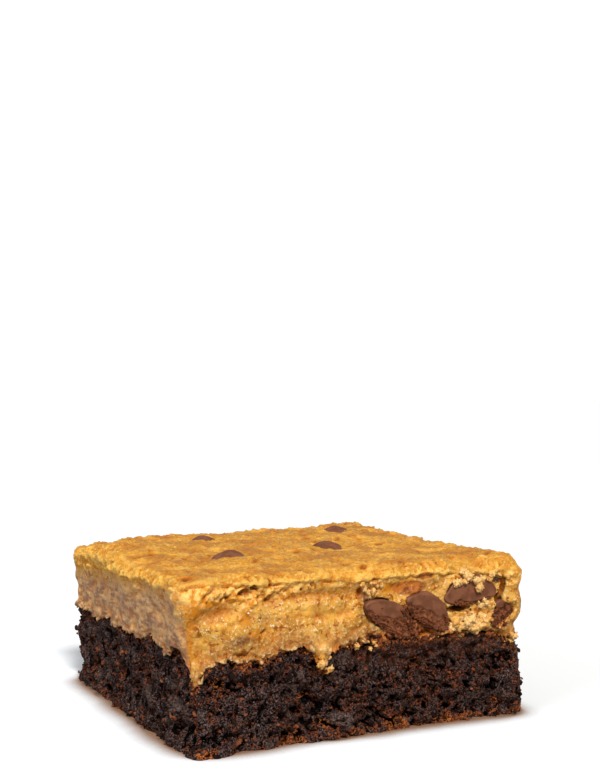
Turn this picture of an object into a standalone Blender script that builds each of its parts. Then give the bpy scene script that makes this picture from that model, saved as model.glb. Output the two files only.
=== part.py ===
"""A square bar cut from a tray: fudgy brownie below, chocolate chip cookie dough baked on top.

Metres, +Z up. The origin is the middle of the bar's flat underside. The front cut face looks along -Y
and the left cut face along -X. Each layer is one solid, and so is each chocolate chip.
"""

import math

import bmesh
import bpy
from mathutils import Matrix, Vector, noise

MM = 0.001

# Driving dimensions
SIDE = 65 * MM  # the bar is cut square
HEIGHT = 29.4 * MM  # from the underside to the cookie's crust
BROWNIE_HEIGHT = 15.8 * MM  # where the cookie dough meets the brownie, in the middle
LAYER_GAP = 0.3 * MM  # clearance between pieces that touch
EDGE_ROUND = 2.4 * MM  # rounding of the upright corners and of the crust's edge
SIDE_CELLS = 32  # facets along each cut face
BROWNIE_CELLS = 8  # facets up the brownie's cut face
COOKIE_CELLS = 7  # facets up the cookie's cut face
RIM = 8 * MM  # width of the band round the edge where the layers meet unevenly

# The bar was cut a little out of square: its left face swells out and leans towards the near corner
FOOT_SWELL = 1.8 * MM
TOP_SWELL = 4.0 * MM
FAR_SHARE = 0.3  # share of the swell left at the far end of that face
FRONT_SWELL = 1.4 * MM  # bulge of the front face's foot beside the near corner
FRONT_SWELL_PLACE = -29 * MM
FRONT_SWELL_WIDTH = 7 * MM
FRONT_SWELL_TOP = 16 * MM

# Relief of the surfaces: size of a lump and how far it stands out
BROWNIE_CRAGS = ((6.5 * MM, 0.9 * MM), (2.4 * MM, 0.7 * MM))
CRUMB_SIZE = 4.4 * MM  # spacing of the brownie's rounded crumbs
CRUMB_HEIGHT = 1.5 * MM
CRUMB_MEAN = 0.45  # usual distance to the nearest crumb's middle, in crumb spacings
COOKIE_CRAGS = ((8.0 * MM, 0.8 * MM), (3.0 * MM, 0.6 * MM))
CRUST_WAVES = ((19 * MM, 1.1 * MM), (6.0 * MM, 0.6 * MM))
SEAM_WAVES = ((9.0 * MM, 1.3 * MM), (4.0 * MM, 0.8 * MM))
CRUST_LIP = 0.55 * MM  # how far the crust's edge stands proud of the dough under it
CRUST_LIP_PLACE = 2.0 * MM  # depth of the lip's middle below the crust
CRUST_LIP_REACH = 2.2 * MM  # from the lip's middle to where it has faded out
FOOT_SKIRT = 0.5 * MM  # crumbs pressed out along the foot of the brownie
FOOT_SKIRT_HEIGHT = 2.5 * MM
SEAM_CALM = 1.8 * MM  # the relief fades out this near the seam, so the layers stay clear of each other

# Where in the endless pattern of swells each surface is taken from
BROWNIE_SEED = 5.1
COOKIE_SEED = 8.6
CRUST_SEED = 11.9
SEAM_SEED = 2.7
OCTAVE_SHIFT = 7.3
SEED_SHIFT = 3.1

# Uneven places seen on the front and left faces: (x, y, rise, radius)
HALF = SIDE / 2
SEAM_PLACES = (
    (-HALF, -HALF, -3.6 * MM, 5.0 * MM),
    (-10 * MM, -HALF, -1.7 * MM, 2.6 * MM),
    (1 * MM, -HALF, 1.5 * MM, 3.5 * MM),
    (30 * MM, -HALF, -2.6 * MM, 2.8 * MM),
)
CRUST_PLACES = (
    (21.5 * MM, -HALF, -2.3 * MM, 3.4 * MM),
    (29.5 * MM, -29 * MM, 0.9 * MM, 4.5 * MM),
    (-HALF, HALF, -1.4 * MM, 12 * MM),
)
# Hollows and flaps in the front cut face: (x, z, depth inwards, radius)
FRONT_PLACES = (
    (-10.5 * MM, 4.6 * MM, 2.6 * MM, 2.9 * MM),
    (-4.5 * MM, 2.0 * MM, -0.9 * MM, 2.6 * MM),
    (23 * MM, 17.6 * MM, -0.9 * MM, 2.4 * MM),
    (-31 * MM, 26.2 * MM, -0.9 * MM, 2.8 * MM),
    (-25 * MM, 24.2 * MM, 0.8 * MM, 2.4 * MM),
)

# Chips are drops with a flat round base
CHIP_PROUD = 0.8 * MM  # how far a cut chip stands out of its face
CHIP_BASE_SHARE = 0.36  # share of a chip's height that lies below its widest ring
CHIP_BASE_FLATNESS = 0.8  # under 1 makes the base flatter than a ball's
CHIP_TAPER = 0.22  # how far the drop narrows towards its tip
CHIP_SEGMENTS = 12
CHIP_RINGS = 8

# Chips cut by the knife: name, place along the face, height up it, radius, chip height, and the
# clockwise turn in degrees as seen from outside
FRONT_CHIPS = (
    ("chip_front_a", 4.0 * MM, 19.6 * MM, 6.1 * MM, 5.2 * MM, 31),
    ("chip_front_b", 11.9 * MM, 20.2 * MM, 5.4 * MM, 5.8 * MM, 34),
    ("chip_front_c", 21.2 * MM, 23.2 * MM, 5.7 * MM, 5.4 * MM, -3),
    ("chip_front_d", 28.5 * MM, 19.0 * MM, 2.7 * MM, 4.0 * MM, -28),
)
RIGHT_CHIPS = (
    ("chip_right_a", -14.0 * MM, 21.6 * MM, 4.6 * MM, 5.4 * MM, 160),
    ("chip_right_b", 12.5 * MM, 20.4 * MM, 5.0 * MM, 4.8 * MM, 24),
)
BACK_CHIPS = (
    ("chip_back_a", -18.0 * MM, 22.4 * MM, 4.8 * MM, 5.6 * MM, 65),
    ("chip_back_b", 3.5 * MM, 20.6 * MM, 5.2 * MM, 5.0 * MM, -12),
    ("chip_back_c", 21.0 * MM, 23.0 * MM, 4.2 * MM, 4.6 * MM, 190),
)
# Chips that the crust holds, tip up: (name, x, y, radius, chip height, lean in degrees)
TOP_CHIPS = (
    ("chip_top_a", -15.0 * MM, -11.0 * MM, 4.6 * MM, 5.6 * MM, 17),
    ("chip_top_b", 9.5 * MM, 0.5 * MM, 5.2 * MM, 5.2 * MM, -15),
    ("chip_top_c", -9.5 * MM, 18.0 * MM, 4.2 * MM, 5.4 * MM, 22),
    ("chip_top_d", 21.5 * MM, 19.5 * MM, 4.8 * MM, 5.0 * MM, -12),
)
TOP_CHIP_SINK = 2.4 * MM  # depth of a top chip's widest ring under the crust

# Colours as they look, and how glossy each is
BROWNIE_LOOK = ((0.17, 0.10, 0.08), 0.62)
COOKIE_LOOK = ((0.80, 0.58, 0.28), 0.58)
CHIP_LOOK = ((0.30, 0.18, 0.13), 0.40)
SHARP_ANGLE = math.radians(50)  # edges keener than this aren't shaded smooth

SAME_PLACE = 0.001 * MM  # two points this near are at the same place


def clear_scene():
    for obj in list(bpy.data.objects):
        bpy.data.objects.remove(obj)


def new_collection(name):
    made = bpy.data.collections.new(name)
    bpy.context.scene.collection.children.link(made)
    return made


def linear(channel):
    """A colour channel as seen on screen, turned into the linear light a shader wants."""
    return ((channel + 0.055) / 1.055) ** 2.4


def food_material(name, look):
    seen, roughness = look
    material = bpy.data.materials.new(name)
    material.use_nodes = True
    shader = material.node_tree.nodes["Principled BSDF"]
    shader.inputs["Base Color"].default_value = (*(linear(c) for c in seen), 1.0)
    shader.inputs["Roughness"].default_value = roughness
    shader.inputs["Metallic"].default_value = 0.0
    return material


def gridded_block(bottom, top, rows):
    """The plain bar between two heights, as a box cut into a grid."""
    bm = bmesh.new()
    bmesh.ops.create_cube(bm, size=1.0)
    bmesh.ops.scale(bm, vec=(SIDE, SIDE, top - bottom), verts=bm.verts)
    bmesh.ops.translate(bm, vec=(0, 0, (bottom + top) / 2), verts=bm.verts)
    low = Vector((-HALF, -HALF, bottom))
    size = Vector((SIDE, SIDE, top - bottom))
    for axis, count in enumerate((SIDE_CELLS, SIDE_CELLS, rows)):
        normal = Matrix.Identity(3)[axis]
        for step in range(1, count):
            everything = bm.verts[:] + bm.edges[:] + bm.faces[:]
            place = low + normal * (size[axis] * step / count)
            bmesh.ops.bisect_plane(bm, geom=everything, plane_co=place, plane_no=normal)
    return bm


def smooth_step(value):
    share = min(1.0, max(0.0, value))
    return share * share * (3 - 2 * share)


def waves(x, y, z, octaves, seed):
    """Uneven swells: each octave is a lump size and a height."""
    total = 0.0
    for index, (size, height) in enumerate(octaves):
        shift = Vector((seed, OCTAVE_SHIFT * index, SEED_SHIFT * seed))
        place = Vector((x, y, z)) / size + shift
        total += height * noise.noise(place)
    return total


def places(x, y, features):
    """Sum of the named rises and dips near a point."""
    total = 0.0
    for centre_x, centre_y, rise, radius in features:
        distance = math.hypot(x - centre_x, y - centre_y)
        total += rise * math.exp(-((distance / radius) ** 2))
    return total


def rim_weight(x, y):
    """1 at the cut faces, fading to 0 where the layers meet out of sight."""
    inside = HALF - max(abs(x), abs(y))
    return 1 - smooth_step(inside / RIM)


def seam_height(x, y):
    """Where the cookie dough meets the brownie."""
    uneven = waves(x, y, 0, SEAM_WAVES, SEAM_SEED) + places(x, y, SEAM_PLACES)
    return BROWNIE_HEIGHT + rim_weight(x, y) * uneven


def crust_height(x, y):
    return HEIGHT + waves(x, y, 0, CRUST_WAVES, CRUST_SEED) + places(x, y, CRUST_PLACES)


def rounded(point):
    """A point of the plain bar moved in by the rounding of its edges.

    The second value points outwards. Its largest part is 1 on the bar's skin and less inside.
    """
    reach = HALF - EDGE_ROUND
    core = Vector(
        (
            min(reach, max(-reach, point.x)),
            min(reach, max(-reach, point.y)),
            min(HEIGHT - EDGE_ROUND, point.z),
        )
    )
    offset = point - core
    if offset.length < SAME_PLACE:
        return point.copy(), Vector((0, 0, 0))
    direction = offset.normalized()
    widest = max(abs(axis) for axis in offset)
    return core + direction * widest, direction * (widest / EDGE_ROUND)


def out_of_square(x, y, z):
    """How the hand-cut faces stand out from the plain square at a point."""
    left = smooth_step((HALF - x) / SIDE)
    near = FAR_SHARE + (1 - FAR_SHARE) * (HALF - y) / SIDE
    swell = FOOT_SWELL + (TOP_SWELL - FOOT_SWELL) * z / HEIGHT
    front = max(0.0, -y / HALF) * max(0.0, 1 - z / FRONT_SWELL_TOP)
    bulge = math.exp(-(((x - FRONT_SWELL_PLACE) / FRONT_SWELL_WIDTH) ** 2))
    return Vector((-swell * left * near, -FRONT_SWELL * front * bulge, 0))


def front_places(x, y, z):
    """Named hollows of the front cut face, as an outward step."""
    if y > -HALF + EDGE_ROUND:
        return 0.0
    return -places(x, z, FRONT_PLACES)


def crumbs(point):
    """Rounded crumbs with creases between them."""
    distances, _ = noise.voronoi(point / CRUMB_SIZE)
    return CRUMB_HEIGHT * (CRUMB_MEAN - distances[0])


def brownie_relief(point, height):
    swell = waves(*point, BROWNIE_CRAGS, BROWNIE_SEED) + crumbs(point)
    skirt = FOOT_SKIRT * max(0.0, 1 - height / FOOT_SKIRT_HEIGHT)
    return swell + skirt + front_places(*point)


def cookie_relief(point, height):
    swell = waves(*point, COOKIE_CRAGS, COOKIE_SEED)
    from_lip = abs(HEIGHT - height - CRUST_LIP_PLACE)
    lip = CRUST_LIP * (1 - smooth_step(from_lip / CRUST_LIP_REACH))
    return swell + lip + front_places(*point)


def shape_layer(bm, relief, bottom_height, top_height, bottom, top):
    """Moves a plain block's grid into the layer's true form."""
    for vert in bm.verts:
        x, y = vert.co.x, vert.co.y
        share = (vert.co.z - bottom) / (top - bottom)
        point, skin = rounded(vert.co)
        rounding = point.z - vert.co.z
        low, high = bottom_height(x, y), top_height(x, y)
        height = low + (high - low) * share + rounding
        calm = smooth_step(abs(height - seam_height(x, y)) / SEAM_CALM)
        on_skin = skin.length > 1 - SAME_PLACE / EDGE_ROUND
        outward = Vector((skin.x, skin.y, 0)) if on_skin else Vector((0, 0, 0))
        moved = Vector((point.x, point.y, height))
        moved += outward * (relief(moved, height) * calm)
        vert.co = moved + out_of_square(point.x, point.y, height)


def merge_flat_faces(bm, height):
    """Makes one face of the faces that lie level at a height."""
    level = [
        face
        for face in bm.faces
        if all(abs(vert.co.z - height) < SAME_PLACE for vert in face.verts)
    ]
    bmesh.ops.dissolve_faces(bm, faces=level, use_verts=True)


def finish_mesh(bm, name, collection, material):
    bmesh.ops.triangulate(bm, faces=bm.faces)
    bmesh.ops.recalc_face_normals(bm, faces=bm.faces)
    mesh = bpy.data.meshes.new(name)
    bm.to_mesh(mesh)
    bm.free()
    mesh.materials.append(material)
    mesh.shade_smooth()
    mesh.set_sharp_from_angle(angle=SHARP_ANGLE)
    obj = bpy.data.objects.new(name, mesh)
    collection.objects.link(obj)
    return obj


def make_brownie(collection, material):
    bm = gridded_block(0, BROWNIE_HEIGHT, BROWNIE_CELLS)
    shape_layer(
        bm,
        brownie_relief,
        lambda x, y: 0.0,
        lambda x, y: seam_height(x, y) - LAYER_GAP / 2,
        0,
        BROWNIE_HEIGHT,
    )
    merge_flat_faces(bm, 0)
    merge_flat_faces(bm, BROWNIE_HEIGHT - LAYER_GAP / 2)
    return finish_mesh(bm, "brownie_layer", collection, material)


def make_cookie(collection, material):
    bm = gridded_block(BROWNIE_HEIGHT, HEIGHT, COOKIE_CELLS)
    shape_layer(
        bm,
        cookie_relief,
        lambda x, y: seam_height(x, y) + LAYER_GAP / 2,
        crust_height,
        BROWNIE_HEIGHT,
        HEIGHT,
    )
    merge_flat_faces(bm, BROWNIE_HEIGHT + LAYER_GAP / 2)
    return finish_mesh(bm, "cookie_layer", collection, material)


def chip_blank(radius, height, grow):
    """A chocolate chip: a drop with a flat round base, its widest ring at the origin and its tip up."""
    bm = bmesh.new()
    bmesh.ops.create_uvsphere(bm, u_segments=CHIP_SEGMENTS, v_segments=CHIP_RINGS, radius=1.0)
    below = height * CHIP_BASE_SHARE + grow
    above = height * (1 - CHIP_BASE_SHARE) + grow
    for vert in bm.verts:
        z = vert.co.z
        girth = (radius + grow) * (1 - CHIP_TAPER * max(0.0, z))
        rise = above * z if z > 0 else -below * abs(z) ** CHIP_BASE_FLATNESS
        vert.co = Vector((vert.co.x * girth, vert.co.y * girth, rise))
    return bm


def chip_object(name, radius, height, matrix, grow, collection, material):
    bm = chip_blank(radius, height, grow)
    obj = finish_mesh(bm, name, collection, material)
    obj.matrix_world = matrix
    return obj


def cut_at_face(obj, outward, proud):
    """Trims a chip where the knife went through, a little proud of the cut face."""
    normal = obj.matrix_world.to_3x3().inverted() @ outward
    place = obj.matrix_world.inverted() @ (outward * (HALF + proud))
    bm = bmesh.new()
    bm.from_mesh(obj.data)
    everything = bm.verts[:] + bm.edges[:] + bm.faces[:]
    cut = bmesh.ops.bisect_plane(
        bm, geom=everything, plane_co=place, plane_no=normal, clear_outer=True
    )
    edges = [item for item in cut["geom_cut"] if isinstance(item, bmesh.types.BMEdge)]
    bmesh.ops.contextual_create(bm, geom=edges)
    bmesh.ops.triangulate(bm, faces=bm.faces)
    bmesh.ops.recalc_face_normals(bm, faces=bm.faces)
    bm.to_mesh(obj.data)
    bm.free()
    obj.data.set_sharp_from_angle(angle=SHARP_ANGLE)


def face_matrix(outward, along, height, turn):
    """Where a cut chip lies: its axis in the face's plane, turned clockwise by turn."""
    side = Vector((0, 0, 1)).cross(outward)
    centre = outward * HALF + side * along + Vector((0, 0, height))
    upright = Matrix((side, outward, Vector((0, 0, 1)))).transposed()
    turned = Matrix.Rotation(math.radians(-turn), 3, outward)
    return Matrix.Translation(centre) @ (turned @ upright).to_4x4()


def make_side_chips(parts, cutters, material):
    faces = (
        (Vector((0, -1, 0)), FRONT_CHIPS),
        (Vector((1, 0, 0)), RIGHT_CHIPS),
        (Vector((0, 1, 0)), BACK_CHIPS),
    )
    for outward, chips in faces:
        for name, along, height, radius, tall, turn in chips:
            matrix = face_matrix(outward, along, height, turn)
            chip = chip_object(name, radius, tall, matrix, 0, parts, material)
            cut_at_face(chip, outward, CHIP_PROUD)
            chip_object(name + "_pocket", radius, tall, matrix, LAYER_GAP, cutters, material)


def make_top_chips(parts, cutters, material):
    for name, x, y, radius, tall, lean in TOP_CHIPS:
        centre = Vector((x, y, crust_height(x, y) - TOP_CHIP_SINK))
        centre += out_of_square(x, y, centre.z)
        matrix = Matrix.Translation(centre) @ Matrix.Rotation(math.radians(lean), 4, "X")
        chip_object(name, radius, tall, matrix, 0, parts, material)
        chip_object(name + "_pocket", radius, tall, matrix, LAYER_GAP, cutters, material)


def cut_pockets(layer, cutters):
    pockets = layer.modifiers.new("chip_pockets", "BOOLEAN")
    pockets.operation = "DIFFERENCE"
    pockets.operand_type = "COLLECTION"
    pockets.collection = cutters
    pockets.solver = "EXACT"


def main():
    clear_scene()
    parts = new_collection("brownie")
    cutters = new_collection("cutters")
    chocolate = food_material("chocolate", CHIP_LOOK)
    brownie = make_brownie(parts, food_material("brownie", BROWNIE_LOOK))
    cookie = make_cookie(parts, food_material("cookie", COOKIE_LOOK))
    make_side_chips(parts, cutters, chocolate)
    make_top_chips(parts, cutters, chocolate)
    for cutter in cutters.objects:
        cutter.hide_render = True
        cutter.display_type = "WIRE"
    cut_pockets(brownie, cutters)
    cut_pockets(cookie, cutters)


main()
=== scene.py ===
"""Looks of the brownie bar: its crumb, dough, crust, chocolate chips and loose crumbs.

The form functions repeat the part's, with finer cells, and work in millimetres. +Z is up, the front
cut face looks along -Y and the left one along -X. Meshes are turned into metres when they are made.
"""

import math

import bmesh
import bpy
import numpy as np
from mathutils import Matrix, Vector, noise
from mathutils.kdtree import KDTree


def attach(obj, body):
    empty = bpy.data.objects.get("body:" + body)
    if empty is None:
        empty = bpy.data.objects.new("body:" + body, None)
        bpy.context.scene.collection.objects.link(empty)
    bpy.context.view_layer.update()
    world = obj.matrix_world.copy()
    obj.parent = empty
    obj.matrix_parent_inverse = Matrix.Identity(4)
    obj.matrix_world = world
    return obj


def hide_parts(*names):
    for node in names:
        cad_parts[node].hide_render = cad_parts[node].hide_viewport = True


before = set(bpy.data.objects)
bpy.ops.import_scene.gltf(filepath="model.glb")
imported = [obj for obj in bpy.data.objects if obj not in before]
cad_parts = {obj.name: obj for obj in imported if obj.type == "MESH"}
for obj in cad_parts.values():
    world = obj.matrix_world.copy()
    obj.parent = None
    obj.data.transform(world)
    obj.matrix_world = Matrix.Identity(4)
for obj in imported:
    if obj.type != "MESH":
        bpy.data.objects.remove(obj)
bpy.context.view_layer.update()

MM = 0.001  # metres in a millimetre

# The part's own values, in millimetres
SIDE = 65.0
HALF = SIDE / 2
HEIGHT = 29.4
BROWNIE_HEIGHT = 15.8
EDGE_ROUND = 2.4
RIM = 8.0
FOOT_SWELL = 1.8
TOP_SWELL = 4.0
FAR_SHARE = 0.3
FRONT_SWELL = 1.4
FRONT_SWELL_PLACE = -29.0
FRONT_SWELL_WIDTH = 7.0
FRONT_SWELL_TOP = 16.0
BROWNIE_CRAGS = ((6.5, 0.9), (2.4, 0.7))
CRUMB_SIZE = 4.4
CRUMB_HEIGHT = 1.5
CRUMB_MEAN = 0.45
COOKIE_CRAGS = ((8.0, 0.8), (3.0, 0.6))
CRUST_WAVES = ((19.0, 1.1), (6.0, 0.6))
SEAM_WAVES = ((9.0, 1.3), (4.0, 0.8))
CRUST_LIP = 0.55
CRUST_LIP_PLACE = 2.0
CRUST_LIP_REACH = 2.2
FOOT_SKIRT = 0.5
FOOT_SKIRT_HEIGHT = 2.5
SEAM_CALM = 1.8
BROWNIE_SEED = 5.1
COOKIE_SEED = 8.6
CRUST_SEED = 11.9
SEAM_SEED = 2.7
OCTAVE_SHIFT = 7.3
SEED_SHIFT = 3.1
SEAM_PLACES = (
    (-HALF, -HALF, -3.6, 5.0),
    (-10.0, -HALF, -1.7, 2.6),
    (1.0, -HALF, 1.5, 3.5),
    (30.0, -HALF, -2.6, 2.8),
)
CRUST_PLACES = (
    (21.5, -HALF, -2.3, 3.4),
    (29.5, -29.0, 0.9, 4.5),
    (-HALF, HALF, -1.4, 12.0),
)
FRONT_PLACES = (
    (-10.5, 4.6, 2.6, 2.9),
    (-4.5, 2.0, -0.9, 2.6),
    (23.0, 17.6, -0.9, 2.4),
    (-31.0, 26.2, -0.9, 2.8),
    (-25.0, 24.2, 0.8, 2.4),
)
CHIP_PROUD = 0.8
CHIP_BASE_SHARE = 0.36
CHIP_BASE_FLATNESS = 0.8
CHIP_TAPER = 0.22
TOP_CHIP_SINK = 2.4

# Chips: node, along its face, height up it, radius, chip height, clockwise turn in degrees from outside
SIDE_CHIPS = {
    "front": (
        ("chip_front_a", 4.0, 19.6, 6.1, 5.2, 31),
        ("chip_front_b", 11.9, 20.2, 5.4, 5.8, 34),
        ("chip_front_c", 21.2, 23.2, 5.7, 5.4, -3),
        ("chip_front_d", 28.5, 19.0, 2.7, 4.0, -28),
    ),
    "right": (
        ("chip_right_a", -14.0, 21.6, 4.6, 5.4, 160),
        ("chip_right_b", 12.5, 20.4, 5.0, 4.8, 24),
    ),
    "back": (
        ("chip_back_a", -18.0, 22.4, 4.8, 5.6, 65),
        ("chip_back_b", 3.5, 20.6, 5.2, 5.0, -12),
        ("chip_back_c", 21.0, 23.0, 4.2, 4.6, 190),
    ),
}
OUTWARD = {"front": (0, -1, 0), "right": (1, 0, 0), "back": (0, 1, 0)}
# Chips in the crust: node, x, y, radius, chip height, lean in degrees
TOP_CHIPS = (
    ("chip_top_a", -15.0, -11.0, 4.6, 5.6, 17),
    ("chip_top_b", 9.5, 0.5, 5.2, 5.2, -15),
    ("chip_top_c", -9.5, 18.0, 4.2, 5.4, 22),
    ("chip_top_d", 21.5, 19.5, 4.8, 5.0, -12),
)

# Below this line on the face a cut chip is dusty with crumb: rise over its middle, and slope
CHIP_DUST_LINES = {
    "chip_front_a": (0.8, -0.33),
    "chip_front_b": (0.7, -0.38),
    "chip_front_c": (-1.5, 0.05),
    "chip_front_d": (1.6, 0.30),
}
OTHER_DUST_LINE = (-0.4, 0.15)
FAR_AWAY = 99.0  # the distance from a chip where none is near

# Fineness of the meshes, in cells along a cut face and rows up it
BROWNIE_CELLS = 288
BROWNIE_ROWS = 68
COOKIE_CELLS = 288
COOKIE_ROWS = 56
SIDE_CHIP_CELLS = (84, 52)  # round a chip, and from its base to its tip
TOP_CHIP_CELLS = (60, 40)
BROWNIE_AVERAGING = 40  # rounds of averaging that leave only the broad shape
COOKIE_AVERAGING = 30
FOOT_INSET = 0.94  # the inner rings of the hidden ends, as shares of the rims around them
HIDDEN_INSET = 0.9
HIDDEN_DEPTH = 1.5  # how far the layers' hidden ends keep from the seam

# Fine relief
CLUMP_SIZE = 2.6
CLUMP_HEIGHT = 0.40
GRAIN_SIZE = 2.3
GRAIN_HEIGHT = 0.55
PIT_DEPTH = 1.7
CREVICE_SIZE = 3.4
CREVICE_DEPTH = 0.7
FLAKE_SIZE = 2.5
FLAKE_HEIGHT = 0.6
FRINGE_SIZE = 2.2
FRINGE_HEIGHT = 0.85
RIM_GRAIN_SIZE = 1.3
RIM_GRAIN_HEIGHT = 0.28
DOUGH_GRAINS = ((1.9, 0.22), (0.9, 0.20), (0.5, 0.14))
SEAM_RAGS = ((2.6, 0.7), (1.1, 0.6), (0.6, 0.4))
SEAM_OVERLAP = 0.15
EDGE_CALM = 0.75  # share of the fine relief that the upright edges lose
CALM_EDGES = (30.0, 32.0)  # where that starts and where it is full

# The crust's torn lower edge on the cut faces
CRUST_EDGE_DEPTH = 2.1
CRUST_EDGE_WAVES = ((5.0, 0.9), (1.7, 0.5))
CRUST_EDGE_RAGS = ((3.0, 0.35), (1.3, 0.35))
# Its heights where the two near faces show them: x and z on the front face, y and z on the left one
FRONT_CRUST_EDGE = (
    (-33.8, 28.5),
    (-31.1, 28.1),
    (-22.3, 27.3),
    (-8.0, 27.5),
    (-3.2, 26.7),
    (3.7, 27.0),
    (14.0, 27.2),
    (22.0, 26.4),
    (32.0, 27.0),
)
LEFT_CRUST_EDGE = ((-32.0, 28.2), (-15.7, 27.0), (0.0, 25.9), (32.0, 24.0))
CRUST_STEP = 0.3
CRACK_DEPTH = 0.7
CRACK_HALF_WIDTH = 0.24
TOP_CRACK_DEPTH = 0.5
TOP_CRACK_WIDTH = 0.09  # as a share of the plates' size

# Places on the front face's dough: x, z, half-width, half-height, rise
DOUGH_PLACES = (
    (-28.8, 23.3, 3.2, 1.3, -0.40),
    (-29.6, 20.9, 1.9, 0.8, 0.40),
    (-26.6, 22.3, 1.6, 0.7, 0.45),
    (-24.4, 26.4, 1.5, 0.6, -1.10),
    (-22.6, 27.0, 0.7, 0.7, -0.90),
    (-19.6, 28.3, 0.35, 1.5, -1.20),
    (-24.6, 15.9, 1.7, 0.6, -0.90),
    (-12.0, 23.0, 9.0, 1.1, 0.35),
    (-8.9, 15.2, 1.5, 1.2, 0.70),
    (0.2, 15.6, 1.6, 0.8, 0.50),
    (-12.0, 25.2, 8.0, 0.8, -0.30),
    (-1.7, 24.6, 0.6, 1.2, -0.70),
    (18.8, 20.5, 2.4, 0.5, -1.50),
    (24.0, 20.4, 2.4, 0.6, 0.50),
    (28.3, 24.2, 0.5, 1.9, -1.60),
    (27.6, 21.3, 0.6, 1.2, -1.20),
    (26.4, 20.4, 0.8, 0.7, 0.50),
    (19.0, 28.0, 1.6, 0.7, -1.10),
    (15.2, 18.2, 0.5, 1.4, -1.10),
    (7.6, 19.0, 1.5, 1.9, -1.40),
    (11.8, 16.6, 2.6, 0.5, -0.90),
)
# Places where dough laps over the edge of a front chip, or frees it: x, z, half-sizes, how far
CHIP_LAPS = ((-2.1, 21.6, 1.6, 2.6, 0.9), (24.4, 24.8, 1.9, 1.0, -0.7))
# Turns of the seam, such as tongues of dough that hang over the brownie: x or y, rise, half-width
FRONT_SEAM_TURNS = (
    (-33.0, -0.9, 1.6),
    (-21.6, -1.1, 0.7),
    (-12.9, 2.1, 1.5),
    (-10.0, -2.4, 1.1),
    (-1.2, -1.1, 1.1),
    (31.6, -0.8, 0.7),
)
LEFT_SEAM_TURNS = ((-28.3, 3.3, 2.8), (-17.0, 0.9, 6.0))
# Stains and painted shade on the front face's dough: x, z, half-width, half-height
SMEARS = ((8.3, 25.1, 3.6, 1.3), (11.2, 27.1, 1.8, 0.6))
# A mauve smudge, and painted shade in the crack at a chip's tip
SMUDGES_AND_SHADE = ((-24.8, 18.6, 2.4, 0.8), (-0.9, 23.9, 0.9, 1.2))
ORANGE_SPOTS = (
    (-24.2, 22.2, 1.5, 1.7),
    (-22.6, 19.3, 1.2, 0.9),
    (-33.4, 24.2, 1.5, 1.8),
    (-34.2, 19.0, 0.9, 5.0),
    (-30.5, 25.0, 2.4, 0.7),
    (4.0, 25.3, 1.6, 0.7),
)
BRIGHT_SPOTS = (
    (-32.4, 26.8, 2.1, 1.7),
    (-28.9, 21.0, 2.0, 0.8),
    (-26.8, 22.2, 1.4, 0.6),
    (-26.0, 25.4, 2.6, 0.8),
    (-31.8, 18.6, 1.2, 1.2),
    (-14.0, 22.6, 6.0, 1.0),
    (-6.0, 21.4, 3.5, 1.2),
    (-4.0, 28.4, 7.0, 0.6),
    (31.4, 25.6, 1.6, 2.2),
)
# Dark brown ovals, mostly painted shade in hollows, crevices and a slit above a chip, with some smeared
# chocolate
CHOCOLATE_AND_HOLLOW_SHADE = (
    (-24.5, 26.9, 1.0, 0.5),
    (-22.9, 27.4, 0.6, 0.5),
    (27.0, 25.5, 0.8, 0.8),
    (28.3, 24.2, 0.6, 1.9),
    (27.8, 21.6, 0.7, 1.6),
    (18.8, 20.5, 2.6, 0.6),
    (1.4, 23.3, 2.4, 0.5),
    (15.2, 18.2, 0.6, 1.5),
    (7.9, 19.2, 1.7, 2.3),
    (9.2, 17.8, 1.2, 0.9),
    (13.6, 22.6, 1.0, 0.5),
)
# Hollows and ledges of the front face's brownie: x, z, half-width, half-height, rise
BROWNIE_PLACES = (
    (-11.4, 6.6, 1.4, 0.9, -1.6),
    (-13.8, 5.2, 1.3, 0.7, -1.4),
    (-9.8, 4.9, 1.0, 1.3, -1.2),
    (-16.2, 4.8, 0.9, 0.6, -1.1),
    (-6.2, 2.6, 3.0, 0.9, 0.6),
    (-22.6, 8.2, 1.5, 0.4, -0.9),
    (29.2, 3.2, 3.0, 0.7, 0.5),
)
# Reddish open crumb on the front face: x, z, half-width, half-height
EMBERS = (
    (3.0, 16.2, 5.0, 1.5),
    (11.6, 16.0, 4.0, 1.3),
    (8.8, 18.2, 2.0, 1.5),
    (12.9, 17.2, 2.6, 0.9),
    (28.2, 16.8, 1.3, 0.9),
    (17.6, 16.3, 2.4, 0.9),
    (26.0, 17.6, 1.4, 0.7),
    (-6.5, 15.6, 2.0, 0.6),
    (-8.6, 2.7, 2.2, 0.9),
    (-15.5, 2.2, 2.0, 1.0),
    (29.0, 3.2, 3.5, 1.3),
    (6.0, 1.6, 3.0, 1.2),
    (-28.9, 11.2, 1.7, 2.2),
    (-12.5, 7.4, 2.4, 1.0),
)
FRONT_STAINS_AND_SHADE = {
    "smear": SMEARS,
    "smudge_and_shade": SMUDGES_AND_SHADE,
    "orange": ORANGE_SPOTS,
    "bright": BRIGHT_SPOTS,
    "stain_and_shade": CHOCOLATE_AND_HOLLOW_SHADE,
    "ember": EMBERS,
}
# Ovals of the front face's brownie: dense crumb, a ledge under the chips, and a compact band
DENSE_OVAL = (-25.0, 6.8, 6.5, 3.6)
LEDGE_OVAL = (6.5, 15.8, 8.5, 1.5)
COMPACT_OVAL = (15.0, 13.4, 21.0, 2.4)

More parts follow.
